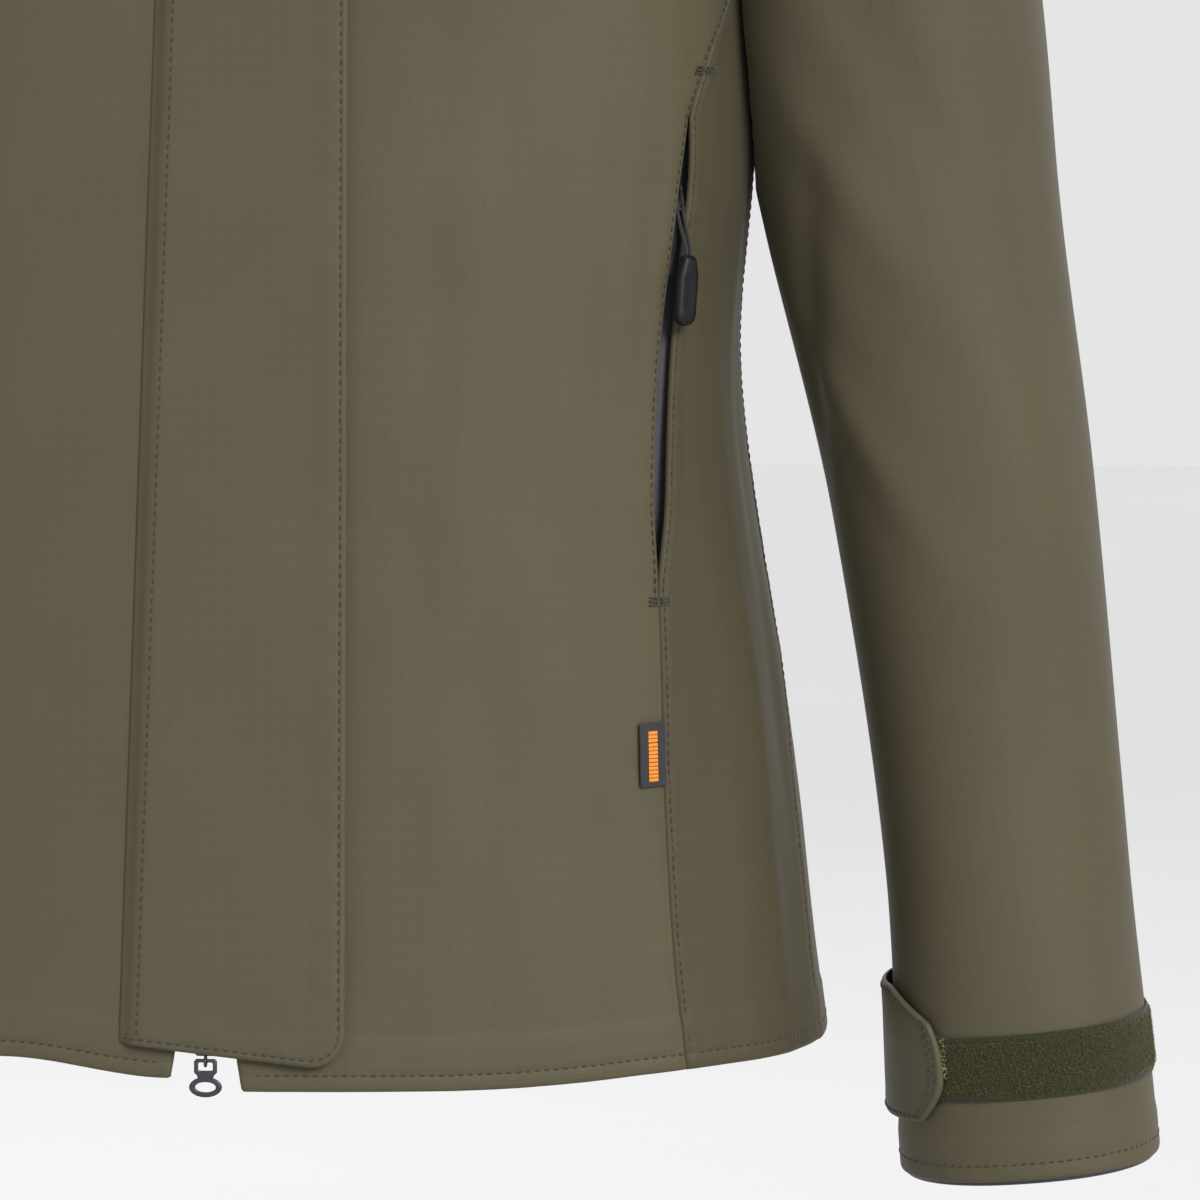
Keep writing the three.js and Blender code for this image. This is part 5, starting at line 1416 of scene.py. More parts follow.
class JACKET_OT_pockets(bpy.types.Operator):
    """Makes the pull cords and grips, zips, sliders and bags of the two hand pockets"""

    bl_idname = "jacket.pockets"
    bl_label = "Pockets"

    def execute(self, context):
        for name, side in SIDES:
            self.frame_of(side)
            self.pull(name)
            self.tape(name)
            self.slider(name)
            self.bag(name, side)
        return {"FINISHED"}

    def frame_of(self, side):
        """The pocket's own space: x across the slit, y inwards, z up along the zip."""
        middle = (POCKET_BOTTOM + POCKET_TOP) / 2
        up = SLIT_TOP - SLIT_BOTTOM
        self.length = float(np.linalg.norm(up))
        up = up / self.length
        out = body_normal(slit_angle(middle), middle)
        out = unit(out - up * np.dot(out, up))
        bottom = SLIT_BOTTOM - out * POCKET_INSET
        flip = np.array([side, 1, 1])
        self.up, self.out, self.bottom = up * flip, out * flip, bottom * flip
        self.across = -np.cross(self.out, self.up)

    def place(self, x, y, z):
        x, y, z = np.broadcast_arrays(*(np.asarray(v, float) for v in (x, y, z)))
        return self.bottom + x[..., None] * self.across - y[..., None] * self.out + z[..., None] * self.up

    def pull(self, name):
        """A thin cord looped through the slider's arch, moulded into a flat grip."""
        top = self.length - POCKET_SLIDER_START
        pivot_y, pivot_z = -(TAPE_THICKNESS / 2 + 0.3 + 1.6) - 0.8 - 1.2, top - POCKET_SLIDER_LENGTH + 3.2
        grip_y = -(POCKET_INSET + GRIP_CLEAR + GRIP_THICKNESS / 2)
        route = np.array([
            (0.9, 1.03, 1), (1.0, 0.9, 0.94), (1.15, 0.75, 0.74), (1.3, 0.55, 0.46), (1.45, 0.36, 0.22),
            (1.45, 0.2, 0.08), (1.2, 0.08, 0.01), (0.7, 0.02, 0), (0, 0, 0),
        ])
        x, down, out = route.T
        half = np.stack([x, lerp(pivot_y, grip_y, out), pivot_z - down * POCKET_CORD_LENGTH], -1)
        line = np.concatenate([half, half[-2::-1] * (-1, 1, 1)])
        stations = np.linspace(0, 1, len(line))
        fine = np.linspace(0, 1, 61)
        line = np.stack([curve(*zip(stations, line[:, k]))(fine) for k in range(3)], -1)
        path = self.place(*line.T)
        cord = tube(path, CORD_DIAMETER / 2, f"{name}_pull_cord")
        finish_piece(cord, material("cord"), f"{name}_pocket_pull", f"{name}_pocket_pull_cord")
        turns = np.linspace(0, 2 * math.pi, 60, endpoint=False)
        knot = self.place(
            0.9 * (np.sin(turns) + 0.75 * np.sin(2 * turns)) - 0.4,
            lerp(pivot_y, grip_y, 0.05) + 0.7 * np.cos(3 * turns) - 0.6,
            pivot_z - 5.4 + 1.0 * (np.cos(turns) - 0.75 * np.cos(2 * turns)),
        )
        knot = tube(knot, 0.5, f"{name}_pull_knot", closed=True)
        finish_piece(knot, material("cord"), f"{name}_pocket_pull")
        grip = self.grip(name, pivot_z - POCKET_CORD_LENGTH, grip_y)
        tuple(world(self.place(0, pivot_y, pivot_z)))
        [tuple(p) for p in world(path)]

    def grip(self, name, top, grip_y):
        """A moulded grip: narrow shoulders, a wider rounded foot and a shallow dish on its face."""
        ends = np.array([0, 0.35, 1, 2, 3.5]), GRIP_LENGTH - np.array([4, 3, 2, 1.1, 0.4, 0])
        heights = np.concatenate([ends[0], np.linspace(5, GRIP_LENGTH - 5, 16), ends[1]])
        half = GRIP_WIDTH / 2
        shoulder = lerp(2.7, half, smooth(heights, -1, 9)) * (0.9 + 0.1 * smooth(heights, 0, 1.2))
        foot = np.sqrt(np.clip(1 - np.clip((heights - (GRIP_LENGTH - half)) / half, 0, 1) ** 2, 0, 1))
        width = np.maximum(shoulder * foot, 0.05)
        depth = np.maximum(GRIP_THICKNESS / 2 * np.minimum(smooth(heights, -0.8, 1.6), foot**0.6), 0.04)
        turns = np.linspace(0, 2 * math.pi, 32, endpoint=False)
        c, s = np.cos(turns)[None, :], np.sin(turns)[None, :]
        x = width[:, None] * signed_power(c, 0.62)
        y = depth[:, None] * signed_power(s, 0.62)
        dish = 0.55 * np.exp(-((x / 2.4) ** 2)) * smooth(heights, 6, 9)[:, None]
        dish = dish * (1 - smooth(heights, 18, 22)[:, None])
        y = y + np.where(s < 0, dish, 0)
        rings = self.place(x, grip_y + y, np.broadcast_to((top - heights)[:, None], x.shape))
        obj = solid_loft(f"{name}_pull_grip", rings)
        tidy_shell(obj)
        body = f"{name}_pocket_pull"
        return finish_piece(obj, material("grip"), body, f"{name}_pocket_pull_grip")

    def tape(self, name):
        """Two woven tapes that meet in a coil zip, lying behind the slit."""
        parts = []
        z = np.linspace(-6, self.length + 6, 70)
        for low, high in ((-10, -0.15), (0.15, 10)):
            middle = np.linspace(low + 1, high - 1, 7)
            x = np.concatenate([low + np.array([0, 0.4]), middle, high - np.array([0.4, 0])])
            gx, gz = np.meshgrid(x, z)
            crown = -0.35 * np.exp(-((np.abs(gx) - 1.2) / 0.9) ** 2)
            outer = self.place(gx, -TAPE_THICKNESS / 2 + crown, gz)
            inner = self.place(gx, TAPE_THICKNESS / 2 - 0.1, gz)
            uv = np.stack([gx, gz], -1)
            if np.dot(np.cross(self.across, self.up), self.out) < 0:
                outer, inner, uv = outer[:, ::-1], inner[:, ::-1], uv[:, ::-1]
            parts.append(cloth_sheet(f"{name}_zip_half", outer, inner, uv))
        obj = joined(f"{name}_pocket_zip", parts)
        finish_piece(obj, [material("zip"), material("zip")], "jacket", f"{name}_pocket_zip_tape")
        lines = []
        for shift in (-1.25, 1.25):
            line = self.place(np.full(120, shift), 1.0, np.linspace(-4, self.length + 4, 120))
            lines.append((line, self.across * np.sign(shift)))
        coil = grown(
            rails(f"{name}_coil", lines), "stitches", pitch=0.0013, length=0.0011, radius=0.0009,
            material=material("teeth"),
        )
        finish_piece(coil, material("teeth"), "jacket")

    def slider(self, name):
        """A small slider body with a wire arch for the cord."""
        top = self.length - POCKET_SLIDER_START
        foot = top - POCKET_SLIDER_LENGTH
        half = 2.6
        outline = both_sides([
            (half - 0.6, foot), (half, foot + 1.4), (half * 0.8, foot + 5),
            (half, top - 1.4), (half - 0.8, top),
        ])
        out = -(TAPE_THICKNESS / 2 + 0.3 + 0.8)
        body = plate(f"{name}_slider_body", [outline], 1.6, 0.4, lambda x, y, z: self.place(x, y + out, z))
        turns = np.linspace(0, math.pi, 17)
        arch = self.place(
            np.zeros(19),
            np.concatenate([[out + 0.2], out - 0.7 - 3.2 * np.sin(turns), [out + 0.2]]),
            np.concatenate([[foot + 6.1], foot + 3.2 + 2.9 * np.cos(turns), [foot + 0.3]]),
        )
        wire = tube(arch, 0.62, "arch")
        obj = joined(f"{name}_pocket_slider_visual", [body, wire])
        finish_piece(obj, material("teeth"), f"{name}_pocket_slider", f"{name}_pocket_slider")

    def bag(self, name, side):
        """The pocket's thin bag, hanging behind the front panel."""
        rows = np.linspace(POCKET_BOTTOM - BAG_BELOW, POCKET_TOP - 8, 60)
        shares = np.linspace(0, 1, 40)[None, :]
        near, far = slit_angle(rows) + 4, slit_angle(rows) - BAG_REACH
        degrees = lerp(far[:, None], near[:, None], shares)
        heights = np.broadcast_to(rows[:, None], degrees.shape)
        swell = np.sin(np.pi * shares) * np.sin(np.pi * (heights - rows[0]) / (rows[-1] - rows[0]))
        front = -POCKET_INSET - 3.4 + 0.8 * swell
        back = front - 1.2 - 3.2 * swell
        fold = body_fold(degrees, heights, side)
        outer = body_cloth(degrees, heights, front - fold, side)
        inner = body_cloth(degrees, heights, back - fold, side)
        uv = np.stack([shares * 110 + 0 * heights, heights], -1)
        outer, inner, uv = handed(side, outer, inner, uv)
        obj = cloth_sheet(f"{name}_bag", outer, inner, uv)
        finish_piece(obj, lining_cloth(), "jacket", f"{name}_pocket_bag")
        declare_cloth(outer)


class JACKET_OT_body(bpy.types.Operator):
    """Makes the front, side and back panels and the yoke, with their topstitching"""

    bl_idname = "jacket.body"
    bl_label = "Body panels"

    def execute(self, context):
        for name, side in SIDES:
            armhole = [armhole_cutter(side)]
            rows = body_rows(0, NECK - 0.6)
            make_panel(f"{name}_front_panel", rows, front_low, front_high, side, front_form, cutters=armhole)
            rows = body_rows(0, UNDERARM - 0.3)
            # The side panels take the darker ripstop, which holds painted shade.
            make_panel(f"{name}_side_panel", rows, side_low, side_high, side, side_form, face="side")
        both = [armhole_cutter(1), armhole_cutter(-1)]
        rows = body_rows(0, YOKE_SEAM - 0.1)
        make_panel("back_panel", rows, back_low, back_high, 1, back_form, cutters=both)
        rows = body_rows(YOKE_SEAM + 0.1, NECK - 0.6, hem=False)
        make_panel("yoke", rows, back_low, back_high, 1, yoke_form, cutters=both)
        self.topstitch()
        return {"FINISHED"}

    def topstitch(self):
        lines = []
        for _, side in SIDES:
            up = np.arange(4, POCKET_BOTTOM - 6, 4.0)
            lines.append(seam_row(side_low, up, 2.0, 0.32, side))
            slit = np.arange(POCKET_BOTTOM - 4, POCKET_TOP + 20, 4.0)
            lines.append(seam_row(front_high, slit, -1.7, 0.2, side))
            lines.append(seam_row(side_low, slit, 1.7, 0.32, side))
            above = np.arange(POCKET_TOP + 22, POCKET_TOP + 100, 3.0)
            lines.append(seam_row(front_high, above, -1.9, 0.15, side))
            lines.append(self.hem(front_low, front_high, side))
            lines.append(self.hem(side_low, side_high, side))
            sides = np.arange(3, UNDERARM - 14, 5.0)
            lines.append(seam_row(back_low, sides, 2.0, 0.15, side))
            shoulder = np.arange(SHOULDER + 30, NECK - 3, 3.0)
            lines.append(seam_row(back_low, shoulder, 2.0, 0.2, side))
        lines.append(self.hem(back_low, back_high, 1))
        across = np.linspace(float(back_low(YOKE_SEAM)) + 18, 162 - float(back_low(YOKE_SEAM)), 90)
        lines.append(body_line(across, np.full(90, YOKE_SEAM + 2.1), 0.32))
        sew("body_topstitching", lines, "jacket")
        tacks = []
        for _, side in SIDES:
            for h in (POCKET_BOTTOM - 5, POCKET_TOP + 17):
                degrees = float(slit_angle(h))
                point, up = body_line(np.array([degrees]), np.array([h]), 0.45, side)
                ends, _ = body_line(np.array([degrees - 0.5, degrees + 0.5]), np.array([h, h]), 0.45, side)
                near = np.array([h + 2, h - 2])
                above, _ = body_line(slit_angle(near), near, 0.45, side)
                along, round_ = unit(above[0] - above[1]), unit(ends[1] - ends[0])
                tacks += bartack(point[0], along, round_, up[0])
        sew("pocket_bartacks", tacks, "jacket", pitch=5.2, length=5.4, radius=0.28)

    def hem(self, low, high, side):
        degrees = np.linspace(float(low(5.4)) + 1.2, float(high(5.4)) - 0.6, 120)
        return body_line(degrees, lifted(degrees, np.full(120, 5.4), side), 0.28, side)


class JACKET_OT_linings(bpy.types.Operator):
    """Makes the body's linings"""

    bl_idname = "jacket.linings"
    bl_label = "Linings"

    def execute(self, context):
        thickness = context.scene.jacket_sizes.lining_thickness * 1000
        rows = np.linspace(40, NECK - 1, 130)
        for name, side in SIDES:
            beside = {1: self.beside_left_guard, -1: self.beside_right_guard}[side]
            make_panel(
                f"{name}_front_lining", rows, beside, self.lining_side, side, self.front_off, thickness,
                "lining", cutters=[armhole_cutter(side, -3.0)],
            )
        both = [armhole_cutter(1, -3.0), armhole_cutter(-1, -3.0)]
        make_panel(
            "back_lining", rows, back_low, back_high, 1, self.back_off, thickness, "lining", cutters=both,
        )
        return {"FINISHED"}

    def beside_left_guard(self, h):
        return angle_at(GUARD_TO + 0.6, h)

    def beside_right_guard(self, h):
        return angle_at(2 - GUARD_FROM, h)

    def lining_side(self, h):
        return np.where(on_shoulder(h), 0, side_seam(h)) - 0.12

    def back_off(self, degrees, h, near, far, above):
        return np.full(degrees.shape, -float(SHELL + LINING_CLEAR))

    def front_off(self, degrees, h, near, far, above):
        """The lining bows inwards round the pocket bag and the pocket zip."""
        along = smooth(h, POCKET_BOTTOM - BAG_BELOW - 45, POCKET_BOTTOM - BAG_BELOW)
        along = along * (1 - smooth(h, POCKET_TOP + 12, POCKET_TOP + 60))
        around = smooth(degrees, -86, -74)
        around = around * (1 - smooth(degrees, princess_seam(h) + 9, princess_seam(h) + 24))
        return -SHELL - LINING_CLEAR - (POCKET_INSET + BAG_DEPTH + 1) * along * around


class JACKET_OT_collar(bpy.types.Operator):
    """Makes the stand collar, its lining and the hanger loop"""

    bl_idname = "jacket.collar"
    bl_label = "Collar"

    def execute(self, context):
        sizes = context.scene.jacket_sizes
        low, high = self.low, self.high
        start, end = COLLAR_SEAM, COLLAR_TOP
        rows = body_rows(start, end, 3.0, hem=False)
        thickness = sizes.cloth_thickness * 1000
        make_panel("collar_outer", rows, low, high, 1, self.outer_form, thickness)
        thickness = sizes.lining_thickness * 1000
        make_panel("collar_lining", rows, low, high, 1, self.lining_form, thickness, "lining")
        degrees = np.linspace(float(low(end)) + 3.5, float(high(end)) - 3.5, 140)
        lines = [body_line(degrees, np.full(140, end - 4.0), 0.25)]
        degrees = np.linspace(float(low(start)) + 3.5, float(high(start)) - 3.5, 140)
        lines.append(body_line(degrees, np.full(140, start + 2.2), 0.2))
        for edge, turn in ((low, 1), (high, -1)):
            rows = np.linspace(start + 2.2, end - 4.0, 30)
            lines.append(seam_row(edge, rows, 4.0 * turn, 0.25))
        sew("collar_topstitching", lines, "jacket")
        self.hanger_loop()
        return {"FINISHED"}

    def low(self, h):
        return angle_at(TAPE_OUT + 0.8, h)

    def high(self, h):
        return 180 - self.low(h)

    def sway(self, degrees, above):
        return 0.25 * np.sin(degrees * 0.31) * np.sin((above - COLLAR_SEAM) / 22)

    def outer_form(self, degrees, h, near, far, above):
        foot = above - COLLAR_SEAM
        edges = welt(foot, 0.0, 3) + welt(COLLAR_TOP - above, 0.3, 8, 4.0) + welt(near, 0.3, 8, 4.0)
        return self.sway(degrees, above) + (edges + welt(far, 0.3, 8, 4.0) + pucker(foot, near, 9, 0.2))

    def lining_form(self, degrees, h, near, far, above):
        return -SHELL - 0.3 + self.sway(degrees, above)

    def hanger_loop(self):
        degrees = np.linspace(90 - LOOP_REACH, 90 + LOOP_REACH, 70)[None, :]
        rows = LOOP_TOP - LOOP_STRAP * np.array([1, 0.96, 0.9, 0.7, 0.5, 0.3, 0.1, 0.04, 0])[:, None]
        from_end = LOOP_REACH - np.abs(degrees - 90)
        bow = -LOOP_IN - LOOP_BOW * smooth(from_end, LOOP_REACH * 0.05, LOOP_REACH * 0.65)
        rib = 0.12 * np.cos((rows - LOOP_TOP) * 2 * math.pi / 1.5)
        outer = body_cloth(degrees, rows, bow + rib)
        inner = body_cloth(degrees, rows, bow - 1.5 - rib)
        uv = np.stack([degrees * 1.1 + 0 * rows, rows + 0 * degrees], -1)
        obj = cloth_sheet("neck_loop", outer, inner, uv)
        finish_piece(obj, [material("strap"), material("strap")], "jacket", "hanger_loop")
        tacks = []
        for turn in (-1, 1):
            at = 90 + turn * (LOOP_REACH - 1.6)
            point, up = body_line(np.array([at]), np.array([LOOP_TOP - LOOP_STRAP / 2]), -LOOP_IN - 1.9)
            tacks += bartack(point[0], (1, 0, 0), (0, 0, 1), -up[0], 4.6, 2.2, 7)
        sew("loop_bartacks", tacks, "jacket", pitch=4.8, length=4.8, radius=0.28)


class JACKET_OT_flap(bpy.types.Operator):
    """Makes the storm flap over the zip with its touch-fastener patches"""

    bl_idname = "jacket.flap"
    bl_label = "Storm flap"

    def execute(self, context):
        sizes = context.scene.jacket_sizes
        span = float(FLAP_FREE_EDGE - FLAP_ROOT_AT_FOOT)
        shares = graded(span, (0, 0.45, 1, 1.6, 2.1, 2.6, 3.4, 4.6, 6.4, 9), 3.2) / span
        levels = graded(ZIP_TOP - ZIP_FOOT, (0, 0.45, 1, 1.6, 2.1, 2.6, 3.4, 4.6, 6.4, 9), 3.4)
        levels = (levels / (ZIP_TOP - ZIP_FOOT))[:, None]
        guess = lerp(ZIP_FOOT, ZIP_TOP, levels)
        x = lerp(flap_root(guess), float(FLAP_FREE_EDGE), shares[None, :])
        z = lerp(self.foot(x), ZIP_TOP, levels)
        off = self.height(x, z)
        outer = front_surface(x, z, off + sizes.cloth_thickness * 1000)
        inner = front_surface(x, z, off)
        obj = cloth_sheet("storm_flap_cloth", outer, inner, np.stack([x, z], -1))
        root = front_surface(flap_root(200.0), 200.0, 0.0)
        across = unit(np.array([1, 0, -FLAP_ROOT_SLANT]))
        blend = ("jacket", "storm_flap", tuple(world(root - across * 2)), tuple(world(root + across * 7)))
        finish_piece(obj, cloth_materials(), "storm_flap", "storm_flap", blend)
        declare_cloth(outer)
        self.topstitch(blend)
        self.patches()
        return {"FINISHED"}

    def foot(self, x):
        """The lower edge slants down to a rounded corner."""
        share = (x - FLAP_ROOT_AT_FOOT) / (FLAP_FREE_EDGE - FLAP_CORNER - FLAP_ROOT_AT_FOOT)
        slant = lerp(FLAP_FOOT_ROOT, FLAP_FOOT_FREE, np.minimum(share, 1))
        into = np.maximum(x - (FLAP_FREE_EDGE - FLAP_CORNER), 0)
        return slant + FLAP_CORNER - np.sqrt(np.maximum(FLAP_CORNER**2 - into**2, 0))

    def edge_distance(self, x, z):
        """How far a point of the flap lies inside its free edge and foot."""
        centre_x, centre_z = FLAP_FREE_EDGE - FLAP_CORNER, FLAP_FOOT_FREE + FLAP_CORNER
        corner = FLAP_CORNER - np.hypot(x - centre_x, z - centre_z)
        plain = np.minimum(FLAP_FREE_EDGE - x, z - self.foot(np.minimum(x, centre_x)))
        return np.where((x > centre_x) & (z < centre_z), corner, plain)

    def height(self, x, z):
        """How far the flap stands off the front: sewn down at its root, and gently waved."""
        from_root = x - flap_root(z)
        lift = lerp(0.15, FLAP_STAND_OFF - 0.3, smooth(from_root, 0, 6))
        wave = 0.5 * np.sin(z / 47 + 0.6) + 0.35 * np.sin(z / 21 + x / 40)
        free = smooth(from_root, 34, 80)
        edge = np.maximum(self.edge_distance(x, z), 0)
        return (
            lift + wave * free * 0.8 + welt(edge, 0.35, 8, 2.1) + pucker(edge, z + x, 7, 0.16)
            - 0.2 * np.exp(-(((from_root - 6.4) / 0.8) ** 2)) - 0.4 * np.exp(-from_root / 0.6)
        )

    def topstitch(self, blend):
        thickness = bpy.context.scene.jacket_sizes.cloth_thickness * 1000
        inset = 2.1
        centre_x, centre_z = FLAP_FREE_EDGE - FLAP_CORNER, FLAP_FOOT_FREE + FLAP_CORNER
        rise = np.arange(centre_z, ZIP_TOP - 2, 3.5)[::-1]
        turn = np.radians(np.linspace(0, -88, 12))
        run = np.linspace(centre_x, FLAP_ROOT_AT_FOOT + 2, 26)
        radius = FLAP_CORNER - inset
        edge = np.full(len(rise), FLAP_FREE_EDGE - inset)
        x = np.concatenate([edge, centre_x + radius * np.cos(turn), run[1:]])
        z = np.concatenate([rise, centre_z + radius * np.sin(turn), self.foot(run[1:]) + inset])
        lines = [self.line(x, z, thickness)]
        rise = np.arange(FLAP_FOOT_ROOT + 4, ZIP_TOP - 2, 3.5)
        lines.append(self.line(flap_root(rise) + 6.4 + 0.8 * rise / ZIP_TOP, rise, thickness))
        sew("flap_topstitching", lines, "storm_flap", blend)

    def line(self, x, z, thickness):
        points = front_surface(x, z, self.height(x, z) + thickness + 0.12)
        beside = front_surface(x + 0.4, z, 0.0) - front_surface(x - 0.4, z, 0.0)
        above = front_surface(x, z + 0.6, 0.0) - front_surface(x, z - 0.6, 0.0)
        return points, unit(np.cross(beside, above))

    def patches(self):
        for index in range(3):
            middle = PATCH_FIRST + index * PATCH_PITCH
            out = FLAP_FREE_EDGE - PATCH_IN
            x = graded(PATCH_WIDTH, (0, 0.4, 1), 1.5) + out - PATCH_WIDTH
            z = graded(PATCH_LENGTH, (0, 0.4, 1), 1.8) + middle - PATCH_LENGTH / 2
            gx, gz = np.meshgrid(x, z)
            for kind, face, body, outer_off, inner_off, slot in (
                ("flap_hook_patch", "hook", "storm_flap", 3.35, 2.45, "hook_tape"),
                ("front_loop_patch", "pile", "jacket", 1.5, 0.25, "loop_pile"),
            ):
                name = f"{kind}_{index + 1}"
                outer, inner = front_surface(gx, gz, outer_off), front_surface(gx, gz, inner_off)
                obj = cloth_sheet(f"{name}_tape", outer, inner, np.stack([gx, gz], -1))
                finish_piece(obj, [material(face)] * 2, body, name)


class JACKET_OT_zip(bpy.types.Operator):
    """Makes the two-way front zip, its sliders and pulls and the wind guard behind it"""

    bl_idname = "jacket.zip"
    bl_label = "Front zip"

    def execute(self, context):
        for name, side in SIDES:
            self.tape(name, side)
            self.teeth(name, side)
        for node in ("insertion_pin", "retaining_pin"):
            frame["nodes"][node].data.materials.clear()
            frame["nodes"][node].data.materials.append(material("teeth"))
        for name, foot in (("lower", ZIP_FOOT - 1.6), ("upper", UPPER_SLIDER_FOOT)):
            self.slider(name, foot)
            self.pull(name, foot)
        self.guard()
        return {"FINISHED"}

    def place(self, x, y, z):
        return from_closure(np.stack(np.broadcast_arrays(x, y, z), -1).astype(float))

    def tape(self, name, side):
        x = graded(TAPE_OUT - 3.6, (0, 0.3, 0.8), 1.2) + 3.6
        z = np.linspace(ZIP_FOOT, ZIP_TOP, 220)
        gx, gz = np.meshgrid(x * side, z)
        beading = 0.35 * np.exp(-(((np.abs(gx) - 4.2) / 0.6) ** 2))
        outer = self.place(gx, TAPE_MIDDLE - TAPE_THICKNESS / 2 - beading, gz)
        inner = self.place(gx, TAPE_MIDDLE + TAPE_THICKNESS / 2 + beading, gz)
        uv = np.stack([gx, gz], -1)
        outer, inner, uv = handed(side, outer, inner, uv)
        obj = cloth_sheet(f"{name}_front_zip_tape", outer, inner, uv)
        finish_piece(obj, [material("zip")] * 2, "jacket", f"{name}_zip_tape")

    def teeth(self, name, side):
        """Moulded teeth on each tape, the two rows half a pitch apart."""
        pitch = bpy.context.scene.jacket_sizes.tooth_pitch * 1000
        start = 24 + (pitch / 2 if side > 0 else 0)
        line = self.place(side * 2.9, TAPE_MIDDLE, np.linspace(start, ZIP_TOP - 3, 300))
        out = from_closure(np.array([0.0, -1, 0])) - from_closure(np.zeros(3))
        if side < 0:
            line = line[::-1]
        row = rails(f"{name}_teeth", [(line, out)])
        grown(row, "teeth", pitch=pitch / 1000, material=material("teeth"))
        finish_piece(row, material("teeth"), "jacket", f"{name}_zip_chain")

    def slider(self, name, foot):
        """Two curved plates round the teeth, joined by a post, with an arch for the pull."""
        top, half = foot + 13.6, 5.0
        outline = both_sides([
            (half - 1.6, foot), (half - 0.6, foot + 1.2), (half - 0.9, foot + 6),
            (half, top - 3), (half - 0.8, top - 0.6), (1.6, top),
        ])
        front = TAPE_MIDDLE - CHAIN_DEPTH / 2 - 0.3 - 0.7
        back = TAPE_MIDDLE + CHAIN_DEPTH / 2 + 0.3 + 0.7
        parts = [
            plate(f"{name}_slider_{n}", [outline], 1.4, 0.45, lambda x, y, z, o=at: self.place(x, y + o, z))
            for n, at in (("front", front), ("back", back))
        ]
        post = [(-0.6, foot + 0.5), (0.6, foot + 0.5), (0.6, top - 2), (-0.6, top - 2)]
        middle = (front + back) / 2
        parts.append(plate("post", [post], back - front, 0.2, lambda x, y, z: self.place(x, y + middle, z)))
        turns = np.linspace(-0.35, 2 * math.pi - 0.65, 26)
        pivot = foot - LUG_RADIUS + 0.4
        lug = self.place(np.zeros(26), -PULL_PIVOT_OUT + 1.75 * np.sin(turns), pivot + 1.75 * np.cos(turns))
        parts.append(tube(lug, 0.52, "lug"))
        inwards, up = np.linspace(-PULL_PIVOT_OUT, front, 5), np.linspace(pivot + 1.7, foot + 2, 5)
        neck = self.place(np.zeros(5), inwards, up)
        parts.append(tube(neck, 0.6, "neck"))
        obj = joined(f"{name}_slider_body", parts)
        finish_piece(obj, material("metal"), f"{name}_slider", f"{name}_slider")

    def pull(self, name, foot):
        """A flat cast pull: a square eye on the lug, a neck and an oval finger ring."""
        pivot = foot - LUG_RADIUS + 0.4
        bar, half, waist = 0.9, PULL_HALF_WIDTH - 0.3, 2.2
        wide, tall = PULL_RING_WIDTH / 2, PULL_RING_HEIGHT / 2
        ring_middle = pivot + bar - PULL_LENGTH + tall
        start = math.acos(waist / wide)
        turns = np.linspace(math.pi - start, 2 * math.pi + start, 40)
        ring = [(wide * math.cos(t), ring_middle + tall * math.sin(t)) for t in turns]
        left = [(-half + 0.8, pivot + bar), (-half, pivot + bar - 0.8), (-half, pivot - 4.0),
                (-half + 0.7, pivot - 4.8), (-waist - 0.3, pivot - 5.4), (-waist, pivot - 6.0)]
        right = [(-x, z) for x, z in left[::-1]]
        rim = left + ring + right
        eye = both_sides([(2.3, pivot - 0.35), (2.7, pivot - 0.8), (2.7, pivot - 2.9), (2.3, pivot - 3.4)])
        hole = [
            ((wide - 2.2) * math.cos(t), ring_middle + (tall - 1.8) * math.sin(t))
            for t in np.linspace(0, 2 * math.pi, 32, endpoint=False)
        ]
        obj = plate(
            f"{name}_pull_cast", [rim, eye, hole], PULL_THICKNESS, 0.4,
            lambda x, y, z: self.place(x, y - PULL_PIVOT_OUT, z),
        )
        finish_piece(obj, material("metal"), f"{name}_pull", f"{name}_pull")

    def guard(self):
        """A strip behind the zip, folded forward to its seam on the left front panel."""
        back = TAPE_MIDDLE + CHAIN_DEPTH / 2 + 0.3 + 1.4 + 1
        front = SHELL + GUARD_CLEAR
        flat, lip = np.linspace(GUARD_FROM, GUARD_TO - 1.2, 22), [GUARD_TO - 1.6, GUARD_TO - 4]
        x = np.concatenate([flat, np.full(4, GUARD_TO - 0.4), lip])
        fold = np.linspace(back - 0.4, front + 1.2, 4)
        y = np.concatenate([np.full(22, back + 0.4), fold, [front + 0.4, front + 0.4]])
        section = np.stack([x, y], -1)
        direction = unit(np.gradient(section, axis=0))
        out = np.stack([direction[:, 1], -direction[:, 0]], -1) * GUARD_THICKNESS / 2
        z = np.linspace(GUARD_FOOT, ZIP_TOP - GUARD_BELOW_TOP, 60)
        shape = (len(z), len(x))
        grids = [
            self.place(
                np.broadcast_to((section + out * sign)[:, 0], shape),
                np.broadcast_to((section + out * sign)[:, 1], shape), np.broadcast_to(z[:, None], shape),
            )
            for sign in (1, -1)
        ]
        uv = np.stack(np.meshgrid(np.linspace(0, 60, len(x)), z), -1)
        obj = cloth_sheet("wind_guard", *grids, uv)
        finish_piece(obj, lining_cloth(), "jacket", "inner_wind_guard")
        declare_cloth(grids[0])


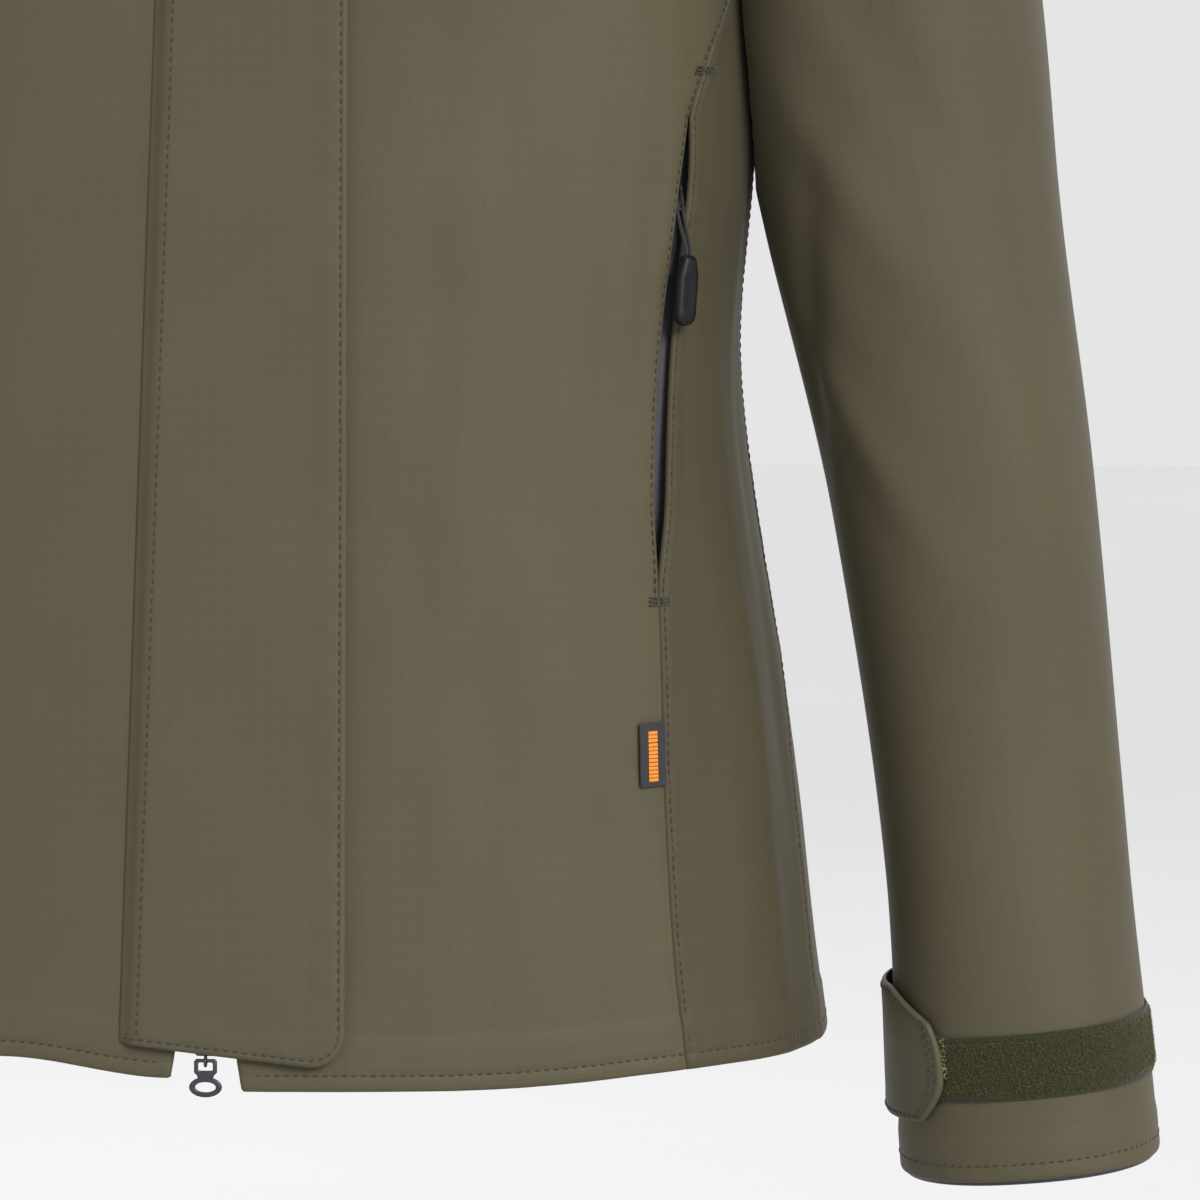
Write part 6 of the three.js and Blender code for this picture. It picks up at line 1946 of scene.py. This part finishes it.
class JACKET_OT_label(bpy.types.Operator):
    """Makes the small woven label in the princess seam, with plain bars"""

    bl_idname = "jacket.label"
    bl_label = "Seam label"

    def execute(self, context):
        rows = graded(LABEL_HIGH - LABEL_LOW, (0, 0.35, 0.8), 1.2)[:, None] + LABEL_LOW
        across = graded(LABEL_WIDTH, (0, 0.35, 0.8), 1.2)[None, :]
        high = princess_seam(rows) - 0.1 * angle_per_mm(rows)
        degrees = high - (LABEL_WIDTH - across) * angle_per_mm(rows)
        lift = self.lift(across, rows)
        outer, inner = body_cloth(degrees, rows, lift + 0.8), body_cloth(degrees, rows, lift)
        uv = np.stack([across + 0 * rows, rows + 0 * across], -1)
        obj = cloth_sheet("woven_seam_label", outer, inner, uv)
        finish_piece(obj, [material("label")] * 2, "jacket", "seam_label")
        lines = []
        for start, end, width in ((2.2, 15.0, 4.0), (16.6, 19.4, 4.0)):
            for step in np.linspace(0, width, 12):
                at = 3.4 + step
                height = LABEL_LOW + np.linspace(start, end, 8)
                turn = princess_seam(height) - (LABEL_WIDTH - at) * angle_per_mm(height)
                lines.append(body_line(turn, height, self.lift(at, height) + 0.86))
        bars = rails("label_bars", lines)
        grown(bars, "stitches", pitch=0.0014, length=0.0016, radius=0.00022, material=material("bars"))
        finish_piece(bars, material("bars"), "jacket")
        return {"FINISHED"}

    def lift(self, across, h):
        """How far the label stands off the front: more at its free end."""
        wave = 0.6 + 0.4 * np.sin((h - LABEL_LOW) / 8)
        return 0.3 + 0.9 * smooth(LABEL_WIDTH - across, 0, 9) * wave


class JACKET_OT_sleeves(bpy.types.Operator):
    """Makes the sleeves, which bend at the armhole, and their linings"""

    bl_idname = "jacket.sleeves"
    bl_label = "Sleeves"

    def execute(self, context):
        sizes = context.scene.jacket_sizes
        for name, side in SIDES:
            blend = sleeve_blend(name, side)
            fine = (0, 0.45, 1, 1.8, 3, 4.4, 5.4, 6.4, 9, 14, 18, 20)
            drops = np.sort(SLEEVE_DROP - graded(SLEEVE_DROP - (ARMHOLE_DEPTH - 104), fine, 3.6))
            angles = np.linspace(-180, 180, 132, endpoint=False)
            above = (SLEEVE_DROP - drops)[:, None]
            off = self.form(angles[None, :], above)
            outer = sleeve_cloth(angles[None, :], drops[:, None], off, side)
            inner = sleeve_cloth(angles[None, :], drops[:, None], off - sizes.cloth_thickness * 1000, side)
            self.wall(f"{name}_sleeve", outer, inner, side, cloth_materials(), "shell_fabric", blend)
            drops = np.linspace(ARMHOLE_DEPTH - 96, SLEEVE_DROP - FACING_HEIGHT - 0.6, 130)
            lining = -SHELL - SLEEVE_LINING_CLEAR
            outer = sleeve_cloth(angles[None, :], drops[:, None], lining, side)
            back = lining - sizes.lining_thickness * 1000
            inner = sleeve_cloth(angles[None, :], drops[:, None], back, side)
            node = f"{name}_sleeve_lining"
            self.wall(node, outer, inner, side, lining_cloth(), "lining_fabric", blend)
            self.facing(name, side)
            self.topstitch(name, side)
        drop_cutters()
        return {"FINISHED"}

    def form(self, degrees, above):
        """Plain cloth with a hem at the cuff and a felled seam down the inside."""
        seam = np.abs((degrees + 180 + 30 + 180) % 360 - 180) * math.pi / 180 * 52
        edge = -0.45 * np.exp(-((seam / 0.9) ** 2)) + 0.3 * np.exp(-(((seam - 3) / 2.4) ** 2))
        hem = -0.5 * np.exp(-above / 0.6) + 0.4 * (1 - smooth(above, 15, 18))
        hem = hem - 0.25 * np.exp(-(((above - 6) / 0.8) ** 2))
        return edge + hem + pucker(above, degrees * 0.9, 8, 0.16)

    def wall(self, node, outer, inner, side, materials, slot, blend):
        outer, inner = handed(-side, outer, inner)
        obj = cloth_tube(f"{node}_cloth", outer[::-1], inner[::-1], 330)
        cut(obj, body_cutter())
        finish_piece(obj, materials, None, node, blend)
        declare_cloth(outer)

    def facing(self, name, side):
        thickness = bpy.context.scene.jacket_sizes.lining_thickness * 1000
        inside = np.linspace(SLEEVE_DROP - FACING_HEIGHT, SLEEVE_DROP - 1, 26)
        drops = np.concatenate([inside, SLEEVE_DROP + np.array([0, 0.6, 1.1, FACING_SHOWS])])
        angles = np.linspace(-180, 180, 110, endpoint=False)
        out = -float(SHELL) + 0.1
        outer = sleeve_cloth(angles[None, :], drops[:, None], out, side)
        inner = sleeve_cloth(angles[None, :], drops[:, None], out - thickness, side)
        outer, inner = handed(-side, outer, inner)
        obj = cloth_tube(f"{name}_facing", outer[::-1], inner[::-1], 310)
        finish_piece(obj, lining_cloth(), f"{name}_sleeve", f"{name}_cuff_facing")
        declare_cloth(outer)

    def topstitch(self, name, side):
        degrees = np.linspace(-180, 180, 150)
        points = sleeve_cloth(degrees, np.full(150, SLEEVE_DROP - 6.0), 0.28, side)
        lines = [(points, sleeve_normal(degrees, np.full(150, SLEEVE_DROP - 6.0), side))]
        sew(f"{name}_cuff_topstitching", lines, f"{name}_sleeve")


def sleeve_blend(name, side):
    """Two points where a sleeve would turn from following the body to swinging with the arm; finish_piece only
    uses them to bake the sleeve's transform instead of parenting it.
    """
    start, end = np.array([side * 200.0, 0, 500]), np.array([side * 262.0, 0, 250])
    return ("jacket", f"{name}_sleeve", tuple(world(start)), tuple(world(end)))


class JACKET_OT_cuffs(bpy.types.Operator):
    """Makes the loop tapes round the cuffs and the tabs that close on them"""

    bl_idname = "jacket.cuffs"
    bl_label = "Cuffs"

    def execute(self, context):
        for name, side in SIDES:
            self.loop_tape(name, side)
            self.tab(name, side)
            self.hook_patch(name, side)
        return {"FINISHED"}

    def wrap(self, name, degrees, height, outer_off, inner_off, side):
        """A sheet wrapped round the cuff, from grids of angles and of heights above its edge."""
        drop = SLEEVE_DROP - height
        outer = sleeve_cloth(degrees, drop, outer_off, side)
        inner = sleeve_cloth(degrees, drop, inner_off, side)
        uv = np.stack([degrees * 0.86, height], -1)
        outer, inner, uv = handed(side, outer, inner, uv)
        return cloth_sheet(name, outer, inner, uv), outer

    def loop_tape(self, name, side):
        sizes = bpy.context.scene.jacket_sizes
        levels = graded(float(TAPE_HIGH - TAPE_LOW), (0, 0.4, 0.9, 1.5, 1.9, 2.4), 1.1) + TAPE_LOW
        angles, levels = np.meshgrid(np.linspace(TAPE_FROM, TAPE_TO, 150), levels)
        pile_top = 1.15 + self.selvedge(levels)
        obj = self.wrap(f"{name}_loop_tape", angles, levels, pile_top, 0.2, side)[0]
        slots = np.zeros(len(obj.data.polygons), np.int32)
        for polygon in obj.data.polygons:
            height = obj.data.uv_layers[0].data[polygon.loop_start].uv[1] * 1000
            slots[polygon.index] = not TAPE_LOW + 1.7 < height < TAPE_HIGH - 2.1
        obj.data.polygons.foreach_set("material_index", slots)
        finishes = [material("pile"), material("webbing")]
        finish_piece(obj, finishes, f"{name}_sleeve", f"{name}_cuff_loop_tape")
        angles = np.linspace(TAPE_FROM + 2, TAPE_TO - 2, 60)
        degrees, height = np.meshgrid(angles, np.linspace(TAPE_LOW + 2.3, TAPE_HIGH - 2.3, 8))
        grid = sleeve_cloth(degrees, SLEEVE_DROP - height, 1.35, side)
        face = patch_quads(numbered(grid))
        bed = make_mesh(f"{name}_loop_fibres", grid.reshape(-1, 3), face if side > 0 else face[:, ::-1])
        grown(
            bed, "fibres", density=sizes.fibre_density, length=sizes.fibre_length,
            seed=sizes.fibre_seed + side, material=material("fibre"),
        )
        finish_piece(bed, material("fibre"), f"{name}_sleeve")
        lines = []
        for level in (TAPE_LOW + 1.2, TAPE_HIGH - 1.2):
            line = np.linspace(TAPE_FROM + 1, TAPE_TO - 1, 90)
            drop = np.full(90, SLEEVE_DROP - level)
            lines.append((sleeve_cloth(line, drop, 1.25, side), sleeve_normal(line, drop, side)))
        row = f"{name}_loop_tape_stitching"
        sew(row, lines, f"{name}_sleeve", pitch=3.0, length=2.2, radius=0.22)

    def selvedge(self, height):
        """A flat woven edge along both sides of the pile."""
        edge = np.minimum(height - TAPE_LOW, TAPE_HIGH - height)
        return -0.25 * (1 - smooth(edge, 1.6, 2.6))

    def rise(self, degrees):
        return lerp(0.35, 2.9, smooth(degrees, TAB_ROOT, TAB_ROOT + 22))

    def tab_end(self, share):
        """The bowed free end, in mm back from its furthest point, at shares of the tab's width."""
        below = 11 * np.clip((0.42 - share) / 0.42, 0, 1) ** 1.7
        return below + 5 * np.clip((share - 0.5) / 0.5, 0, 1) ** 2.2

    def tab_place(self, along, share):
        """Angles and heights of the tab, from shares of its length and of its width."""
        length = (TAB_END - TAB_ROOT) * CUFF_HALF_WIDTH * math.pi / 180
        degrees = TAB_ROOT + (TAB_END - TAB_ROOT) * along * (1 - self.tab_end(share) / length)
        top = TAB_HIGH - 12 * np.clip((along - 0.66) / 0.34, 0, 1) ** 1.2
        return degrees, lerp(float(TAB_LOW), top, share)

    def tab(self, name, side):
        thickness = 1.5
        length = (TAB_END - TAB_ROOT) * CUFF_HALF_WIDTH * math.pi / 180
        along = graded(length, (0, 0.4, 0.9, 1.5, 2.0, 2.6, 3.4, 4.6, 5.4), 1.8) / length
        width = float(TAB_HIGH - TAB_LOW)
        share = graded(width, (0, 0.4, 0.9, 1.5, 2.0, 2.6, 3.6), 1.8) / width
        along, share = np.meshgrid(along, share)
        degrees, height = self.tab_place(along, share)
        form = self.rise(degrees) + self.tab_form(along, share, length, width)
        obj, outer = self.wrap(f"{name}_tab", degrees, height, form + thickness, form, side)
        finish_piece(obj, [material("shell")] * 2, f"{name}_cuff_tab", f"{name}_cuff_tab")
        declare_cloth(outer)
        self.tab_stitches(name, side, thickness, length, width)

    def tab_form(self, along, share, length, width):
        """Rolled edges, pressed down along two rows of stitches at the free end."""
        end = (1 - along) * length
        edge = np.minimum(np.minimum(share, 1 - share) * width, end)
        rows = 0.25 * np.exp(-(((edge - 2) / 0.6) ** 2)) + 0.25 * np.exp(-(((end - 4.8) / 0.6) ** 2))
        return welt(edge, 0.1, 6) - rows

    def tab_stitches(self, name, side, thickness, length, width):
        lines = []
        inner = 2.0 / width
        back = np.linspace(1 - 2.0 / length, 0.32, 40)
        up = np.linspace(inner, 1 - inner, 26)
        for along, share in (
            (np.concatenate([back[::-1], np.full(26, back[0]), back]),
             np.concatenate([np.full(40, 1 - inner), up[::-1], np.full(40, inner)])),
            (np.full(26, 1 - 4.8 / length), up),
        ):
            degrees, height = self.tab_place(along, share)
            drop = SLEEVE_DROP - height
            off = self.rise(degrees) + thickness + 0.15
            lines.append((sleeve_cloth(degrees, drop, off, side), sleeve_normal(degrees, drop, side)))
        sew(f"{name}_tab_topstitching", lines, f"{name}_cuff_tab", pitch=3.0, length=2.4)

    def hook_patch(self, name, side):
        levels = graded(22.0, (0, 0.5, 1.2), 1.7) + TAPE_LOW + 3
        angles, levels = np.meshgrid(np.linspace(TAB_END - 42, TAB_END - 7, 40), levels)
        obj = self.wrap(f"{name}_hook_tape", angles, levels, 2.95, 1.95, side)[0]
        finish_piece(obj, [material("hook")] * 2, f"{name}_cuff_tab", f"{name}_cuff_hook_patch")
        degrees, height = np.meshgrid(
            np.linspace(TAB_END - 2.5, TAB_END + 2.2, 8), np.linspace(TAPE_LOW + 8, TAPE_HIGH + 1, 10)
        )
        grid = sleeve_cloth(degrees, SLEEVE_DROP - height, 2.2, side)
        face = patch_quads(numbered(grid))
        bed = make_mesh(f"{name}_hooks", grid.reshape(-1, 3), face if side > 0 else face[:, ::-1])
        grown(
            bed, "fibres", density=1.0e6, length=0.0026, radius=0.00011, lean=0.9, seed=19 + side,
            material=material("bristle"),
        )
        finish_piece(bed, material("bristle"), f"{name}_cuff_tab")


OPERATORS = (
    JACKET_OT_stage, JACKET_OT_pockets, JACKET_OT_body, JACKET_OT_linings, JACKET_OT_collar,
    JACKET_OT_flap, JACKET_OT_zip, JACKET_OT_label, JACKET_OT_sleeves, JACKET_OT_cuffs,
)


class JACKET_PT_panel(bpy.types.Panel):
    """Lists the jacket's pieces in the order in which they are made"""

    bl_idname = "JACKET_PT_panel"
    bl_label = "Shell jacket"
    bl_space_type = "VIEW_3D"
    bl_region_type = "UI"
    bl_category = "Jacket"

    def draw(self, context):
        for group in (context.scene.jacket_sizes, context.scene.jacket_colours):
            box = self.layout.box()
            for key in group.bl_rna.properties.keys():
                if key not in ("rna_type", "name"):
                    box.prop(group, key)
        for operator in OPERATORS:
            self.layout.operator(operator.bl_idname)


CLASSES = (JacketSizes, JacketColours, *OPERATORS, JACKET_PT_panel)


def register():
    for item in CLASSES:
        bpy.utils.register_class(item)
    bpy.types.Scene.jacket_sizes = PointerProperty(type=JacketSizes)
    bpy.types.Scene.jacket_colours = PointerProperty(type=JacketColours)


def unregister():
    del bpy.types.Scene.jacket_colours
    del bpy.types.Scene.jacket_sizes
    for item in reversed(CLASSES):
        bpy.utils.unregister_class(item)


def main():
    register()
    for operator in OPERATORS:
        group, name = operator.bl_idname.split(".")
        getattr(getattr(bpy.ops, group), name)()


if __name__ == "__main__":
    main()
